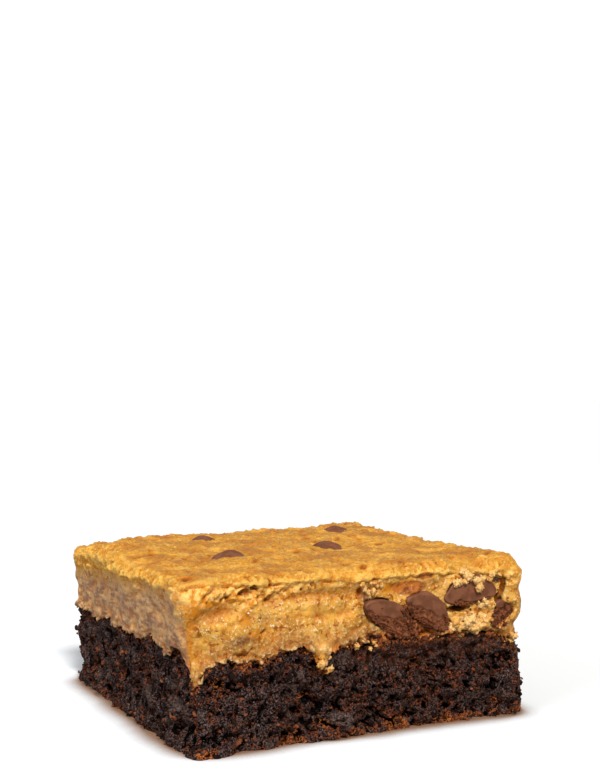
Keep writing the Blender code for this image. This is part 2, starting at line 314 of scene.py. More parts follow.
# Dense, moist patches of brownie, which the material paints a lighter grey as painted sheen: x and z on the
# front face, y and z on the left one, half-sizes
FRONT_SHEEN_PATCHES = ((-6.4, 3.4, 2.3, 0.8), (-13.8, 11.8, 1.8, 0.8), (-16.5, 10.0, 1.4, 0.6))
LEFT_SHEEN_PATCHES = (
    (-24.9, 8.7, 2.4, 3.6),
    (14.6, 5.2, 5.5, 2.2),
    (-11.6, 6.8, 3.2, 2.0),
    (24.0, 11.5, 4.0, 2.0),
    (0.5, 11.6, 2.6, 1.3),
)

# Pale crumbs on the front face: x, z, half-width, half-height, count, crumb radius
PALE_CLUSTERS = (
    (22.6, 17.9, 2.2, 1.0, 16, 1.00),
    (18.0, 17.9, 0.9, 0.8, 6, 0.80),
    (20.1, 26.7, 0.9, 0.9, 7, 0.70),
    (22.8, 25.0, 1.1, 1.0, 9, 0.65),
    (18.6, 25.3, 1.6, 0.7, 9, 0.55),
    (25.5, 25.9, 1.0, 0.7, 6, 0.65),
    (23.7, 21.2, 1.6, 0.8, 9, 0.50),
    (0.4, 25.5, 1.9, 0.9, 24, 0.36),
    (-10.4, 13.2, 0.5, 0.3, 5, 0.60),
    (-8.6, 12.1, 0.5, 0.2, 4, 0.45),
    (-9.0, 14.8, 1.2, 1.0, 5, 0.40),
    (-1.0, 15.2, 2.2, 0.8, 8, 0.40),
    (30.8, 14.2, 0.7, 0.7, 5, 0.45),
)

# Brown crumbs between and below the front chips, in the same form
RUBBLE_CLUSTERS = (
    (7.0, 21.0, 1.0, 0.8, 12, 0.34),
    (8.4, 19.0, 1.2, 1.3, 22, 0.34),
    (9.8, 17.0, 1.6, 0.8, 18, 0.36),
    (3.5, 17.0, 2.6, 0.6, 16, 0.36),
    (12.5, 16.2, 2.0, 0.5, 14, 0.36),
    (19.5, 20.8, 2.4, 0.4, 10, 0.30),
    (27.5, 16.9, 1.6, 0.5, 10, 0.34),
)

# Painted glints on the front face's dough: tiny near-white crumbs, in the same form
GLINT_CLUSTERS = (
    (-20.9, 21.3, 0.8, 0.3, 6, 0.17),
    (-19.1, 20.2, 0.6, 0.2, 6, 0.18),
    (-23.6, 23.2, 0.2, 0.2, 3, 0.20),
    (-24.6, 20.3, 0.3, 0.2, 3, 0.18),
    (-18.4, 22.6, 1.6, 0.7, 9, 0.14),
    (-31.4, 20.0, 0.7, 0.8, 7, 0.15),
    (-28.0, 22.0, 1.2, 0.3, 5, 0.13),
    (-15.5, 20.6, 4.0, 1.8, 14, 0.11),
    (-4.0, 20.0, 4.5, 2.6, 14, 0.10),
    (-29.0, 16.5, 2.6, 2.0, 8, 0.10),
)

# Loose crumbs on every side: how many, and their radii
REDDISH_COUNT = 2200
REDDISH_RADIUS = (0.12, 0.38)
DARK_COUNT = 2600
DARK_RADIUS = (0.16, 0.5)
PALE_COUNT = 260
PALE_RADIUS = (0.1, 0.34)
DUST_COUNT = 900
DUST_RADIUS = (0.1, 0.3)
LARGE_CRUMB = 0.3
CRUMB_CUTS = 6  # flat facets that each crumb has broken along
# Their looks: dark and light colour, roughness and shine
CRUMB_LOOKS = {
    "reddish_crumb": ((80, 43, 29), (146, 86, 54), 0.7, 0.06),
    "dark_crumb": ((26, 16, 14), (60, 40, 35), 0.7, 0.05),
    # near-white crumbs that stand for glints of light: painted highlights
    "painted_glint_crumb": ((255, 226, 176), (255, 250, 232), 0.25, 0.5),
    "pale_crumb": ((222, 156, 60), (240, 204, 140), 0.7, 0.3),
}


def smooth_step(value, low=0.0, high=1.0):
    share = np.clip((value - low) / (high - low), 0.0, 1.0)
    return share * share * (3 - 2 * share)


def noise_at(points, size, shift):
    """Uneven values from about -1 to 1, with lumps of that size. Each shift gives another pattern."""
    where = points / np.asarray(size) + np.array(shift)
    return np.array([noise.noise(place) for place in where.tolist()])


def cells_at(points, size, shift=0.0):
    """Each point's distances to the nearest and the second nearest grain's middle."""
    where = points / size + shift
    near = np.array([noise.voronoi(place)[0][:2] for place in where.tolist()])
    return near[:, 0], near[:, 1]


def waves(points, octaves, seed):
    total = np.zeros(len(points))
    for index, (size, height) in enumerate(octaves):
        shift = (seed, OCTAVE_SHIFT * index, SEED_SHIFT * seed)
        total += height * noise_at(points, size, shift)
    return total


def bell(offset, reach):
    """1 where there is no offset, falling smoothly to 0 beyond the reach."""
    return np.exp(-((offset / reach) ** 2))


def places(x, y, features):
    total = np.zeros(len(x))
    for centre_x, centre_y, rise, radius in features:
        total += rise * bell(np.hypot(x - centre_x, y - centre_y), radius)
    return total


def patch(x, z, centre_x, centre_z, wide, tall):
    """A soft-edged oval patch, 1 in its middle and 0 away from it."""
    reach = ((x - centre_x) / wide) ** 2 + ((z - centre_z) / tall) ** 2
    return np.exp(-(reach**1.5))


def patches(x, z, features):
    """The largest of several oval patches at each point."""
    return np.max([patch(x, z, *feature) for feature in features], axis=0)


def risen(x, z, features):
    """The sum of several oval patches, each with its own rise."""
    return sum(rise * patch(x, z, *oval) for *oval, rise in features)


def level(points):
    """The points' places seen from above."""
    return points * (1, 1, 0)


def rim_weight(points):
    inside = HALF - np.abs(points[:, :2]).max(axis=1)
    return 1 - smooth_step(inside / RIM)


def seam_height(points):
    uneven = waves(level(points), SEAM_WAVES, SEAM_SEED)
    uneven += places(points[:, 0], points[:, 1], SEAM_PLACES)
    return BROWNIE_HEIGHT + rim_weight(points) * uneven


def ragged_seam_height(points):
    """The seam with the small rags and tongues that only the looks have."""
    rags = waves(level(points), SEAM_RAGS, 4.4)
    at_seam = level(points) + (0, 0, BROWNIE_HEIGHT)
    seen_x = (at_seam + out_of_square(at_seam))[:, 0]
    on_front = smooth_step(-points[:, 1], HALF - 2, HALF - 0.5)
    on_left = smooth_step(-points[:, 0], HALF - 2, HALF - 0.5)
    faces = ((on_front, seen_x, FRONT_SEAM_TURNS), (on_left, points[:, 1], LEFT_SEAM_TURNS))
    for on_face, along, turns in faces:
        for middle, rise, half_width in turns:
            rags += on_face * rise * bell(along - middle, half_width)
    return seam_height(points) + rim_weight(points) * rags


def crust_height(points):
    bumps = places(points[:, 0], points[:, 1], CRUST_PLACES)
    return HEIGHT + waves(level(points), CRUST_WAVES, CRUST_SEED) + bumps


def rounded(plain):
    """The plain bar's points moved in by the rounding of its edges, and the way out at each."""
    reach = HALF - EDGE_ROUND
    core = np.clip(plain, (-reach, -reach, -np.inf), (reach, reach, HEIGHT - EDGE_ROUND))
    offset = plain - core
    length = np.linalg.norm(offset, axis=1)
    direction = offset / np.maximum(length, 1e-9)[:, None]
    widest = np.abs(offset).max(axis=1)[:, None]
    return core + direction * widest, direction * (widest / EDGE_ROUND)


def out_of_square(points):
    x, y, z = points.T
    left = smooth_step((HALF - x) / SIDE)
    near = FAR_SHARE + (1 - FAR_SHARE) * (HALF - y) / SIDE
    swell = FOOT_SWELL + (TOP_SWELL - FOOT_SWELL) * z / HEIGHT
    front = np.maximum(0, -y / HALF) * np.maximum(0, 1 - z / FRONT_SWELL_TOP)
    bulge = bell(x - FRONT_SWELL_PLACE, FRONT_SWELL_WIDTH)
    return np.stack([-swell * left * near, -FRONT_SWELL * front * bulge, np.zeros(len(x))], axis=1)


def at_corner(points, right, back, reach):
    """1 at one of the bar's upright edges and 0 away from it; right and back are 1 or -1."""
    return bell(np.hypot(points[:, 0] - right * HALF, points[:, 1] - back * HALF), reach)


def upright_edges(points, start, end):
    """1 along all four upright edges and 0 nearer the middle of the bar than the start."""
    return smooth_step(np.abs(points[:, 0]), start, end) * smooth_step(np.abs(points[:, 1]), start, end)


def near_faces(skin):
    """How far each point belongs to the front cut face, and to the left one."""
    return smooth_step(-skin[:, 1], 0.5, 0.9), smooth_step(-skin[:, 0], 0.5, 0.9)


def front_places(points):
    on_front = points[:, 1] <= -HALF + EDGE_ROUND
    return -places(points[:, 0], points[:, 2], FRONT_PLACES) * on_front


def brownie_relief(points):
    nearest, _ = cells_at(points, CRUMB_SIZE)
    crumbs = CRUMB_HEIGHT * (CRUMB_MEAN - nearest)
    skirt = FOOT_SKIRT * np.maximum(0, 1 - points[:, 2] / FOOT_SKIRT_HEIGHT)
    return waves(points, BROWNIE_CRAGS, BROWNIE_SEED) + crumbs + skirt + front_places(points)


def cookie_relief(points):
    from_lip = np.abs(HEIGHT - points[:, 2] - CRUST_LIP_PLACE)
    lip = CRUST_LIP * (1 - smooth_step(from_lip / CRUST_LIP_REACH))
    return waves(points, COOKIE_CRAGS, COOKIE_SEED) + lip + front_places(points)


def swirled(points, size, amount, seed):
    """Points moved about a little, so that what is read at them isn't regular."""
    moves = [noise_at(points, size, (seed, 3.3 * axis, 9.1)) for axis in range(3)]
    return points + amount * np.stack(moves, axis=1)


def fractal(points, size, octaves, keep, seed, other_seed=4.7, form=np.asarray):
    """Uneven values in ever finer lumps, each octave keeping a share of the one before."""
    layers = [
        share * form(noise_at(points, size / 2**index, (seed, OCTAVE_SHIFT * index, other_seed)))
        for index, share in enumerate(keep ** np.arange(octaves))
    ]
    return np.sum(layers, axis=0)


def billows(points, size, octaves, keep, seed):
    """Rounded grains with sharp creases between them, in ever finer lumps."""
    return fractal(points, size, octaves, keep, seed, 8.2, lambda uneven: 2 * np.abs(uneven) - 0.45)


def square_ring(cells):
    """Points round the plain bar, anticlockwise from its near left corner."""
    along = np.linspace(-HALF, HALF, cells, endpoint=False)
    edge = np.full(cells, HALF)
    x = np.concatenate([along, edge, -along, -edge])
    y = np.concatenate([-edge, along, edge, -along])
    return np.stack([x, y], axis=1)


def ring_quads(around, rows):
    """Quads between closed rings of points that lie one above another."""
    k, row = np.meshgrid(np.arange(around), np.arange(rows))
    after = (k + 1) % around
    low, high = row * around, (row + 1) * around
    return np.stack([low + k, low + after, high + after, high + k], axis=-1).reshape(-1, 4)


def sleeve(cells, rows, bottom, top):
    """The plain bar's four sides as a grid: its points, their share of the height, and its quads."""
    ring = square_ring(cells)
    around = len(ring)
    share = np.repeat(np.linspace(0, 1, rows + 1), around)
    flat = np.tile(ring, (rows + 1, 1))
    points = np.column_stack([flat, bottom + (top - bottom) * share])
    return points, share, ring_quads(around, rows)


def end_cap(rim, first_rim, first_new, half, height, facing_up):
    """A plain hidden end: a ring set in from the rim, and a fan from it to the middle."""
    around = len(rim)
    inner = np.column_stack([rim[:, :2] * half / HALF, np.full(around, height)])
    points = np.vstack([inner, (0, 0, height)])
    outer = first_rim + np.arange(around)
    ring = first_new + np.arange(around)
    quads = np.stack([outer, np.roll(outer, -1), np.roll(ring, -1), ring], axis=1)
    fan = np.stack([ring, np.roll(ring, -1), np.full(around, first_new + around)], axis=1)
    if not facing_up:
        quads, fan = quads[:, ::-1], fan[:, ::-1]
    return points, quads, fan


def crust_grid(cells, first_rim, first_new):
    """The top of the bar: a square grid half as fine as the rim, and triangles that join the two."""
    coarse = cells // 2
    half = HALF * (1 - 1 / cells)
    line = np.linspace(-half, half, coarse + 1)
    grid_x, grid_y = np.meshgrid(line, line, indexing="ij")
    points = np.column_stack([grid_x.ravel(), grid_y.ravel(), np.full(grid_x.size, HEIGHT)])
    index = first_new + np.arange(grid_x.size).reshape(coarse + 1, coarse + 1)
    quads = np.stack([index[:-1, :-1], index[1:, :-1], index[1:, 1:], index[:-1, 1:]], axis=-1)
    inner = np.concatenate([index[:-1, 0], index[-1, :-1], index[:0:-1, -1], index[0, :0:-1]])
    outer = first_rim + np.arange(4 * cells)
    even, odd, after = outer[0::2], outer[1::2], np.roll(outer, -2)[0::2]
    triangles = np.vstack([
        np.stack([even, odd, inner], axis=1),
        np.stack([odd, np.roll(inner, -1), inner], axis=1),
        np.stack([odd, after, np.roll(inner, -1)], axis=1),
    ])
    return points, quads.reshape(-1, 4), triangles


def average_near(values, quads, rounds):
    """Values averaged with their neighbours' again and again."""
    ends = np.concatenate([quads[:, [0, 1]], quads[:, [1, 2]]])
    start, end = np.concatenate([ends, ends[:, ::-1]]).T
    near = np.bincount(start, minlength=len(values))
    for _ in range(rounds):
        total = np.bincount(start, weights=values[end], minlength=len(values))
        values = (values + total) / (1 + near)
    return values


def add_object(name, data):
    obj = bpy.data.objects.new(name, data)
    bpy.context.scene.collection.objects.link(obj)
    return obj


def make_mesh(name, points, faces, masks, material):
    """An object from points in millimetres, with a float attribute for each named mask."""
    mesh = bpy.data.meshes.new(name)
    mesh.from_pydata((points * MM).tolist(), [], [face for group in faces for face in group.tolist()])
    for mask_name, values in masks.items():
        padded = np.zeros(len(points), np.float32)
        padded[: len(values)] = values
        attribute = mesh.attributes.new(mask_name, "FLOAT", "POINT")
        attribute.data.foreach_set("value", padded)
    mesh.shade_smooth()
    mesh.materials.append(material)
    return add_object(name, mesh)


def joined(*groups):
    """Groups of matching arrays, such as middles and radii, each kind made into one."""
    return [np.concatenate(parts) for parts in zip(*groups)]


def dress(piece, slot, *nodes):
    """The piece rides on the bar and, where nodes are named, stands for them."""
    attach(piece, "root")
    if nodes:
        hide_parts(*nodes)


# Chips

def chip_taper(share):
    """A chip's narrowing towards its tip; the share runs from -1 at its base to 1 at its tip."""
    return 1 - CHIP_TAPER * np.maximum(0, share)


def chip_rise(share, tall):
    """The height over a chip's middle at a share from -1 at its base to 1 at its tip."""
    above, below = tall * (1 - CHIP_BASE_SHARE), tall * CHIP_BASE_SHARE
    return np.where(share > 0, above * share, -below * np.abs(share) ** CHIP_BASE_FLATNESS)


def chip_outline(radius, tall):
    """A chip's outline in the plane of its axis: its distance from the middle at each angle."""
    share = np.linspace(-1, 1, 241)
    rise = chip_rise(share, tall)
    girth = radius * np.sqrt(1 - share**2) * chip_taper(share)
    return np.arctan2(rise, girth), np.hypot(rise, girth)


def chip_frame(face, along, height, turn):
    """A cut chip's middle on its face, its own across and up directions there, and the way out."""
    outward = np.array(OUTWARD[face], float)
    side = np.cross((0, 0, 1), outward)
    up = np.array((0.0, 0.0, 1.0))
    centre = outward * HALF + side * along + up * height
    cos, sin = math.cos(math.radians(turn)), math.sin(math.radians(turn))
    return centre, side * cos - up * sin, up * cos + side * sin, outward


def top_chip_showing(radius, tall):
    """Radius of a top chip where the crust meets it."""
    share = TOP_CHIP_SINK / (tall * (1 - CHIP_BASE_SHARE))
    return radius * math.sqrt(1 - share**2) * chip_taper(share)


def beyond_chips(points, shown):
    """How far each point of the surface lies outside the nearest chip's outline, negative within it.

    The cut faces' chips are placed on the bar as it is seen, and the crust's chips on the plain bar.
    """
    nearest = np.full(len(points), FAR_AWAY)
    for face, chips in SIDE_CHIPS.items():
        for _, along, height, radius, tall, turn in chips:
            centre, across, up, outward = chip_frame(face, along, height, turn)
            offset = shown - centre
            u, v = offset @ across, offset @ up
            angle, reach = chip_outline(radius, tall)
            distance = np.hypot(u, v) - np.interp(np.arctan2(v, np.abs(u)), angle, reach)
            near_face = np.abs(offset @ outward) < radius
            nearest = np.where(near_face, np.minimum(nearest, distance), nearest)
    for _, x, y, radius, tall, _ in TOP_CHIPS:
        distance = np.hypot(points[:, 0] - x, points[:, 1] - y) - top_chip_showing(radius, tall)
        near_top = points[:, 2] > HEIGHT - 3
        nearest = np.where(near_top, np.minimum(nearest, distance), nearest)
    return nearest


def moat(points, distance):
    """Dough sinks behind a chip, laps over its edge in places and leaves a crevice in others."""
    uneven = noise_at(points, 2.1, (4, 4, 8)) + 0.4 * noise_at(points, 0.8, (2, 6, 1))
    shifted = distance + 0.25 + 0.8 * uneven
    behind = -2.3 * smooth_step(-shifted, -0.15, 0.7)
    rim = (0.1 - 0.5 * uneven) * bell(distance - 0.5, 0.7)
    return behind + rim


# The brownie layer

def crumb_kinds(point, seen_x, bent, front, left):
    """Where the brownie's crumb is loose, dense with a painted sheen, reddish and compact."""
    x, y, z = point.T
    loose = noise_at(point, 6.5, (3, 1, 4)) + 0.35 * front * smooth_step(x, -8, 4)
    tall = noise_at(bent, (3.4, 3.4, 8.0), (9, 3, 1)) + 0.4 * noise_at(bent, (1.5, 1.5, 4.0), (2, 9, 2))
    loose += left * (1.3 * tall - loose)
    dense_painted_sheen = np.maximum(patches(seen_x, z, FRONT_SHEEN_PATCHES) * front, patches(y, z, LEFT_SHEEN_PATCHES) * left)
    dense_painted_sheen = smooth_step(dense_painted_sheen + 0.8 * fractal(bent, 2.4, 2, 0.7, 7.7), 0.35, 0.75)
    loose -= 0.6 * dense_painted_sheen + 0.5 * patch(seen_x, z, *DENSE_OVAL) * front
    embers = np.maximum(patches(seen_x, z, EMBERS) * front, 0.45 * smooth_step(tall, 0.08, 0.35) * left)
    compact = patch(seen_x, z, *COMPACT_OVAL) * front
    return smooth_step(loose, -0.12, 0.2), dense_painted_sheen, embers, compact


def crumb_relief(point, seen_x, bent, seam, front, left, kinds):
    """The brownie's fine relief: clumps, pits, crevices and tears, and what shows in named places."""
    x, y, z = point.T
    loose, dense_painted_sheen, embers, compact = kinds
    crumbly = 0.25 + 0.75 * np.maximum(loose, embers)
    clumps = fractal(bent, CLUMP_SIZE, 4, 0.78, 1.3)
    shape = CLUMP_HEIGHT * np.where(clumps > 0, np.tanh(1.8 * clumps), 1.8 * clumps)
    pits = PIT_DEPTH * smooth_step(-clumps, 0.22, 0.85) * crumbly
    ridge = fractal(bent, CREVICE_SIZE, 3, 0.6, 6.1)
    crevices = CREVICE_DEPTH * bell(ridge, 0.08) * crumbly * (1 + left) * smooth_step(z, 1.0, 4.0)
    tiers = 0.25 * noise_at(bent, (7.0, 7.0, 1.2), (8, 8, 2)) * front * smooth_step(x, 2, 12)
    streaks = 0.30 * noise_at(bent, (1.3, 1.3, 7.0), (2, 8, 5)) * left
    foot_line = 0.6 * bell(z - 2.7 - 0.5 * noise_at(point, 4.0, (2, 2, 9)), 0.5)
    foot_line *= smooth_step(noise_at(point, 9.0, (5, 2, 7)), -0.2, 0.3) * (1 - left)
    recess = 0.55 * bell(seam - z - 0.6, 0.8) * (0.15 + 1.05 * left)
    small = GRAIN_HEIGHT * billows(bent, GRAIN_SIZE, 3, 0.75, 2.4)
    small = small * (0.25 + 0.75 * crumbly) * (1 - 0.5 * dense_painted_sheen)
    tears = 1.3 * bell(noise_at(bent, (3.4, 3.4, 9.0), (4, 7, 7)), 0.10) * left * (1 - dense_painted_sheen)
    under_chips = 0.7 * patch(seen_x, z, *LEDGE_OVAL) * front
    named = risen(seen_x, z, BROWNIE_PLACES) * front
    relief = (shape * crumbly + small) * (1 - 0.3 * left - 0.4 * compact) + tiers + streaks + under_chips
    relief += named - (pits + crevices) * (1 - 0.6 * compact) - tears - foot_line - recess
    relief *= 1 - EDGE_CALM * upright_edges(point, *CALM_EDGES)
    near_right = at_corner(point, 1, -1, 7) * (1 - smooth_step(z, 7.5, 11.5))
    relief += near_right * (1.6 + 0.5 * bell(z - 9.0, 3.0))
    relief += at_corner(point, -1, 1, 8) * (1.3 * smooth_step(z, 0.5, 8.0) - 0.6)
    relief -= 1.5 * at_corner(point, -1, -1, 6)
    relief += 0.8 * left * (1 - smooth_step(z, 1.0, 5.0)) * smooth_step(y, -30.0, -20.0)
    return relief * (0.4 + 0.6 * smooth_step(z / (0.4 + 1.8 * left), 0.0, 1.0))


def make_brownie(material):
    plain, share, quads = sleeve(BROWNIE_CELLS, BROWNIE_ROWS, 0, BROWNIE_HEIGHT)
    point, skin = rounded(plain)
    seam = ragged_seam_height(plain) + SEAM_OVERLAP
    point[:, 2] = seam * share
    shown = point + out_of_square(point)
    seen_x, z = shown[:, 0], point[:, 2]
    front, left = near_faces(skin)
    bent = swirled(point, 1.6, 0.45, 1.7)
    kinds = crumb_kinds(point, seen_x, bent, front, left)
    calm = smooth_step(np.abs(z - seam_height(plain)) / SEAM_CALM)
    total = brownie_relief(point) * calm + crumb_relief(point, seen_x, bent, seam, front, left, kinds)
    rise = total - average_near(total, quads, BROWNIE_AVERAGING)

    moved = shown + skin * (1, 1, 0) * total[:, None]
    around = 4 * BROWNIE_CELLS
    count = len(moved)
    low, low_quads, low_fan = end_cap(moved[:around], 0, count, HALF * FOOT_INSET, 0.0, False)
    high_start = count + len(low)
    high, high_quads, high_fan = end_cap(
        moved[-around:], count - around, high_start, HALF * HIDDEN_INSET, BROWNIE_HEIGHT - HIDDEN_DEPTH, True
    )
    corner = upright_edges(point, 28.5, 31.5)
    patchy = 0.35 + 0.65 * smooth_step(noise_at(point, 5.0, (6, 6, 2)), -0.3, 0.1)
    loose, dense_painted_sheen, embers, compact = kinds
    masks = {
        # rise is lowered on the left face, so more of it takes the painted gap shade
        "rise": rise * (1 + 0.7 * left) - 0.1 * left,
        "compact": compact,
        "dense": 1 - loose,
        "ember": embers,
        "dense_painted_sheen": dense_painted_sheen,
        "foot": np.maximum((1 - smooth_step(z, 0.6, 2.4)) * (1 - 0.6 * left) * patchy, 0.35 * corner),
        "seam": smooth_step(z - seam, -2.2, -0.5) * (1 - 0.5 * left),
    }
    faces = (quads, low_quads, high_quads, low_fan, high_fan)
    piece = make_mesh("brownie_crumb", np.vstack([moved, low, high]), faces, masks, material)
    dress(piece, "brownie", "brownie_layer")
    return moved, skin, masks


# The cookie layer

def crust_edge(points, shown, front, left):
    """Height of the crust's torn lower edge on the cut faces."""
    edge = crust_height(points) - CRUST_EDGE_DEPTH + waves(level(points), CRUST_EDGE_WAVES, 6.3)
    rags = waves(level(points), CRUST_EDGE_RAGS, 2.2)
    for weight, along, heights in ((front, 0, FRONT_CRUST_EDGE), (left, 1, LEFT_CRUST_EDGE)):
        edge += weight * (np.interp(shown[:, along], *np.transpose(heights)) + rags - edge)
    return edge


def top_cracks(point):
    """Shallow cracks in the crust, in short stretches where it has dried most."""
    wandering = swirled(swirled(point, 5.0, 1.6, 6.6), 1.8, 0.5, 2.9)
    nearest, second = cells_at(wandering, 9.5, 1.3)
    gap = second - nearest
    dry = smooth_step(noise_at(point, 12.0, (9, 4, 2)), -0.15, 0.2)
    broken = smooth_step(noise_at(point, 4.0, (3, 8, 6)), -0.1, 0.25)
    return TOP_CRACK_DEPTH * bell(gap, TOP_CRACK_WIDTH) * dry * broken


def dough_zones(point, below_edge, low, side, front, left):
    """Where the dough is flaky, fringed at the seam, crust, golden under it, and split from it."""
    x, y, z = point.T
    near_corner = front * (1 - smooth_step(x, -20, -12))
    wrapped = smooth_step(-y, 27.0, 31.0) * smooth_step(z, 22.0, 24.5) * left
    tearing = noise_at(point, 9.0, (2, 7, 1)) + 0.6 * near_corner + wrapped
    tearing += front * (0.5 * smooth_step(x, 11, 17) - 0.15)
    torn = smooth_step(tearing, 0.0, 0.35)
    flaky_depth = below_edge - 0.9 * near_corner - 0.9 * wrapped
    flaky_zone = smooth_step(below_edge, -0.3, 0.2) * (1 - smooth_step(flaky_depth, 1.2, 2.8))
    flaky = side * flaky_zone * (0.2 + 0.8 * torn) * (1 - 0.85 * left * (1 - wrapped))
    fringe = side * (1 - smooth_step(z - low, 0.4, 2.4)) * (1 - 0.5 * left)
    crust = np.maximum(1 - side, smooth_step(-below_edge, -0.2 - 1.0 * left, 0.5))
    golden = np.maximum(1 - smooth_step(below_edge, 0.2, 3.6), wrapped)
    split = smooth_step(noise_at(level(point), 4.0, (6, 2, 6)) + 0.5 * near_corner, 0.1, 0.4)
    return flaky, fringe, crust, golden, split


def dough_relief(point, seen_x, below_edge, side, front, left, zones):
    """The cookie layer's fine relief: grains, pores and flakes, the crust's step, and named places."""
    flaky, fringe, crust, _, split = zones
    bent = swirled(point, 1.4, 0.35, 4.2)
    fine = waves(bent, DOUGH_GRAINS, 3.9) * (1 - 0.75 * left)
    folds = 0.14 * noise_at(bent, (5.0, 5.0, 1.9), (1, 5, 9)) * side * (1 - 0.6 * left)
    mounds = 0.2 * fractal(bent * (1, 0.4, 1), 1.8, 2, 0.6, 7.4) * left
    porous = smooth_step(noise_at(point, 5.5, (1, 9, 9)), 0.0, 0.4) * side * (1 - 0.6 * left)
    pores = 0.7 * smooth_step(-noise_at(bent, 0.95, (8, 3, 3)), 0.42, 0.62) * porous
    flakes = FLAKE_HEIGHT * billows(bent, FLAKE_SIZE, 3, 0.85, 2.0)
    lumps = FRINGE_HEIGHT * billows(bent, FRINGE_SIZE, 3, 0.75, 7.0)
    slab = CRUST_STEP * smooth_step(-below_edge, -0.1, 0.3) * side * (1 - 0.5 * left)
    crack = CRACK_DEPTH * bell(below_edge, CRACK_HALF_WIDTH) * split * side * (1 - 0.7 * left)
    named = risen(seen_x, point[:, 2], DOUGH_PLACES) * front
    wrinkles = 0.35 * noise_at(point, 2.2, (5, 5, 1)) + 0.20 * noise_at(bent, 0.9, (7, 1, 3))
    relief = fine + folds + mounds - pores + flaky * flakes + fringe * lumps + slab - crack
    relief += named + crust * wrinkles - top_cracks(point) * (1 - side)
    rim_grain = RIM_GRAIN_HEIGHT * billows(bent, RIM_GRAIN_SIZE, 3, 0.8, 9.4)
    return relief + rim_grain * crust * smooth_step(side, 0.1, 0.5)


def make_cookie(material):
    sides = sleeve(COOKIE_CELLS, COOKIE_ROWS, BROWNIE_HEIGHT, HEIGHT)
    around = 4 * COOKIE_CELLS
    side_count = len(sides[0])
    top_points, top_quads, top_triangles = crust_grid(COOKIE_CELLS, side_count - around, side_count)
    plain, share, quads = joined(sides, (top_points, np.ones(len(top_points)), top_quads))

    point, skin = rounded(plain)
    low, high = ragged_seam_height(plain) - SEAM_OVERLAP, crust_height(plain)
    point[:, 2] += low + (high - low) * share - plain[:, 2]
    shown = point + out_of_square(point)
    seen_x, z = shown[:, 0], point[:, 2]
    side = np.linalg.norm(skin[:, :2], axis=1)
    front, left = near_faces(skin)
    calm = smooth_step(np.abs(z - seam_height(plain)) / SEAM_CALM)
    base = cookie_relief(point) * calm
    below_edge = crust_edge(plain, shown, front, left) - z
    zones = dough_zones(point, below_edge, low, side, front, left)
    relief = dough_relief(point, seen_x, below_edge, side, front, left, zones)
    laps = risen(seen_x, z, CHIP_LAPS) * front
    distance = beyond_chips(point, shown) + laps
    relief += moat(point, distance) + 0.8 * laps
    relief *= 1 - EDGE_CALM * (upright_edges(point, *CALM_EDGES) * side)
    near_right = at_corner(point, 1, -1, 6)
    relief += 1.5 * near_right * smooth_step(z, 16.0, 19.0) * (1 - smooth_step(z, 25.0, 28.0))
    relief += 0.9 * at_corner(point, -1, 1, 8) * side
    relief -= 1.5 * at_corner(point, -1, -1, 6) * (1 - smooth_step(z, 17.0, 25.0))
    total = base + relief
    rise = total - average_near(total, quads, COOKIE_AVERAGING)

    moved = shown + skin * (1, 1, 0) * base[:, None] + skin * relief[:, None]
    flaky, fringe, crust, golden, _ = zones
    masks = {
        "rise": rise,
        "crust": crust,
        "flake": flaky,
        "fringe": fringe,
        # the left cut face, which the material paints greyer and darker: partly its own tone, partly painted
        # shade
        "left": left * (1 - crust) * (1 - 0.8 * golden),
        "top": 1 - side,
        # where the dough sinks behind a chip; the material darkens it there as painted shade
        "chip": smooth_step(-relief, 0.8, 1.5) * (distance < 1.0),
        "low": (1 - smooth_step(z - low, 0.0, 5.0)) * side,
    }
    for name, ovals in FRONT_STAINS_AND_SHADE.items():
        masks[name] = patches(seen_x, z, ovals) * front
    count = len(moved)
    cap, cap_quads, cap_fan = end_cap(
        moved[:around], 0, count, HALF * HIDDEN_INSET, BROWNIE_HEIGHT + HIDDEN_DEPTH, False
    )
    faces = (quads, top_triangles, cap_quads, cap_fan)
    piece = make_mesh("cookie_dough", np.vstack([moved, cap]), faces, masks, material)
    dress(piece, "cookie", "cookie_layer")
    return moved, skin, masks


# Chips of chocolate

def ball(segments, rings):
    """A unit ball as points and faces, its poles along z."""
    up = np.linspace(-math.pi / 2, math.pi / 2, rings + 1)[1:-1]
    turn = np.linspace(0, 2 * math.pi, segments, endpoint=False)
    lat, lon = np.meshgrid(up, turn, indexing="ij")
    points = np.stack([np.cos(lat) * np.cos(lon), np.cos(lat) * np.sin(lon), np.sin(lat)], axis=-1)
    points = np.vstack([points.reshape(-1, 3), (0, 0, -1), (0, 0, 1)])
    k = np.arange(segments)
    after = (k + 1) % segments
    last = (rings - 2) * segments
    low = np.stack([after, k, np.full(segments, len(points) - 2)], axis=1)
    high = np.stack([last + k, last + after, np.full(segments, len(points) - 1)], axis=1)
    return points, (ring_quads(segments, rings - 2), low, high)


def chip_points(unit, radius, tall):
    x, y, z = unit.T
    girth = radius * chip_taper(z)
    return np.column_stack([x * girth, y * girth, chip_rise(z, tall)])


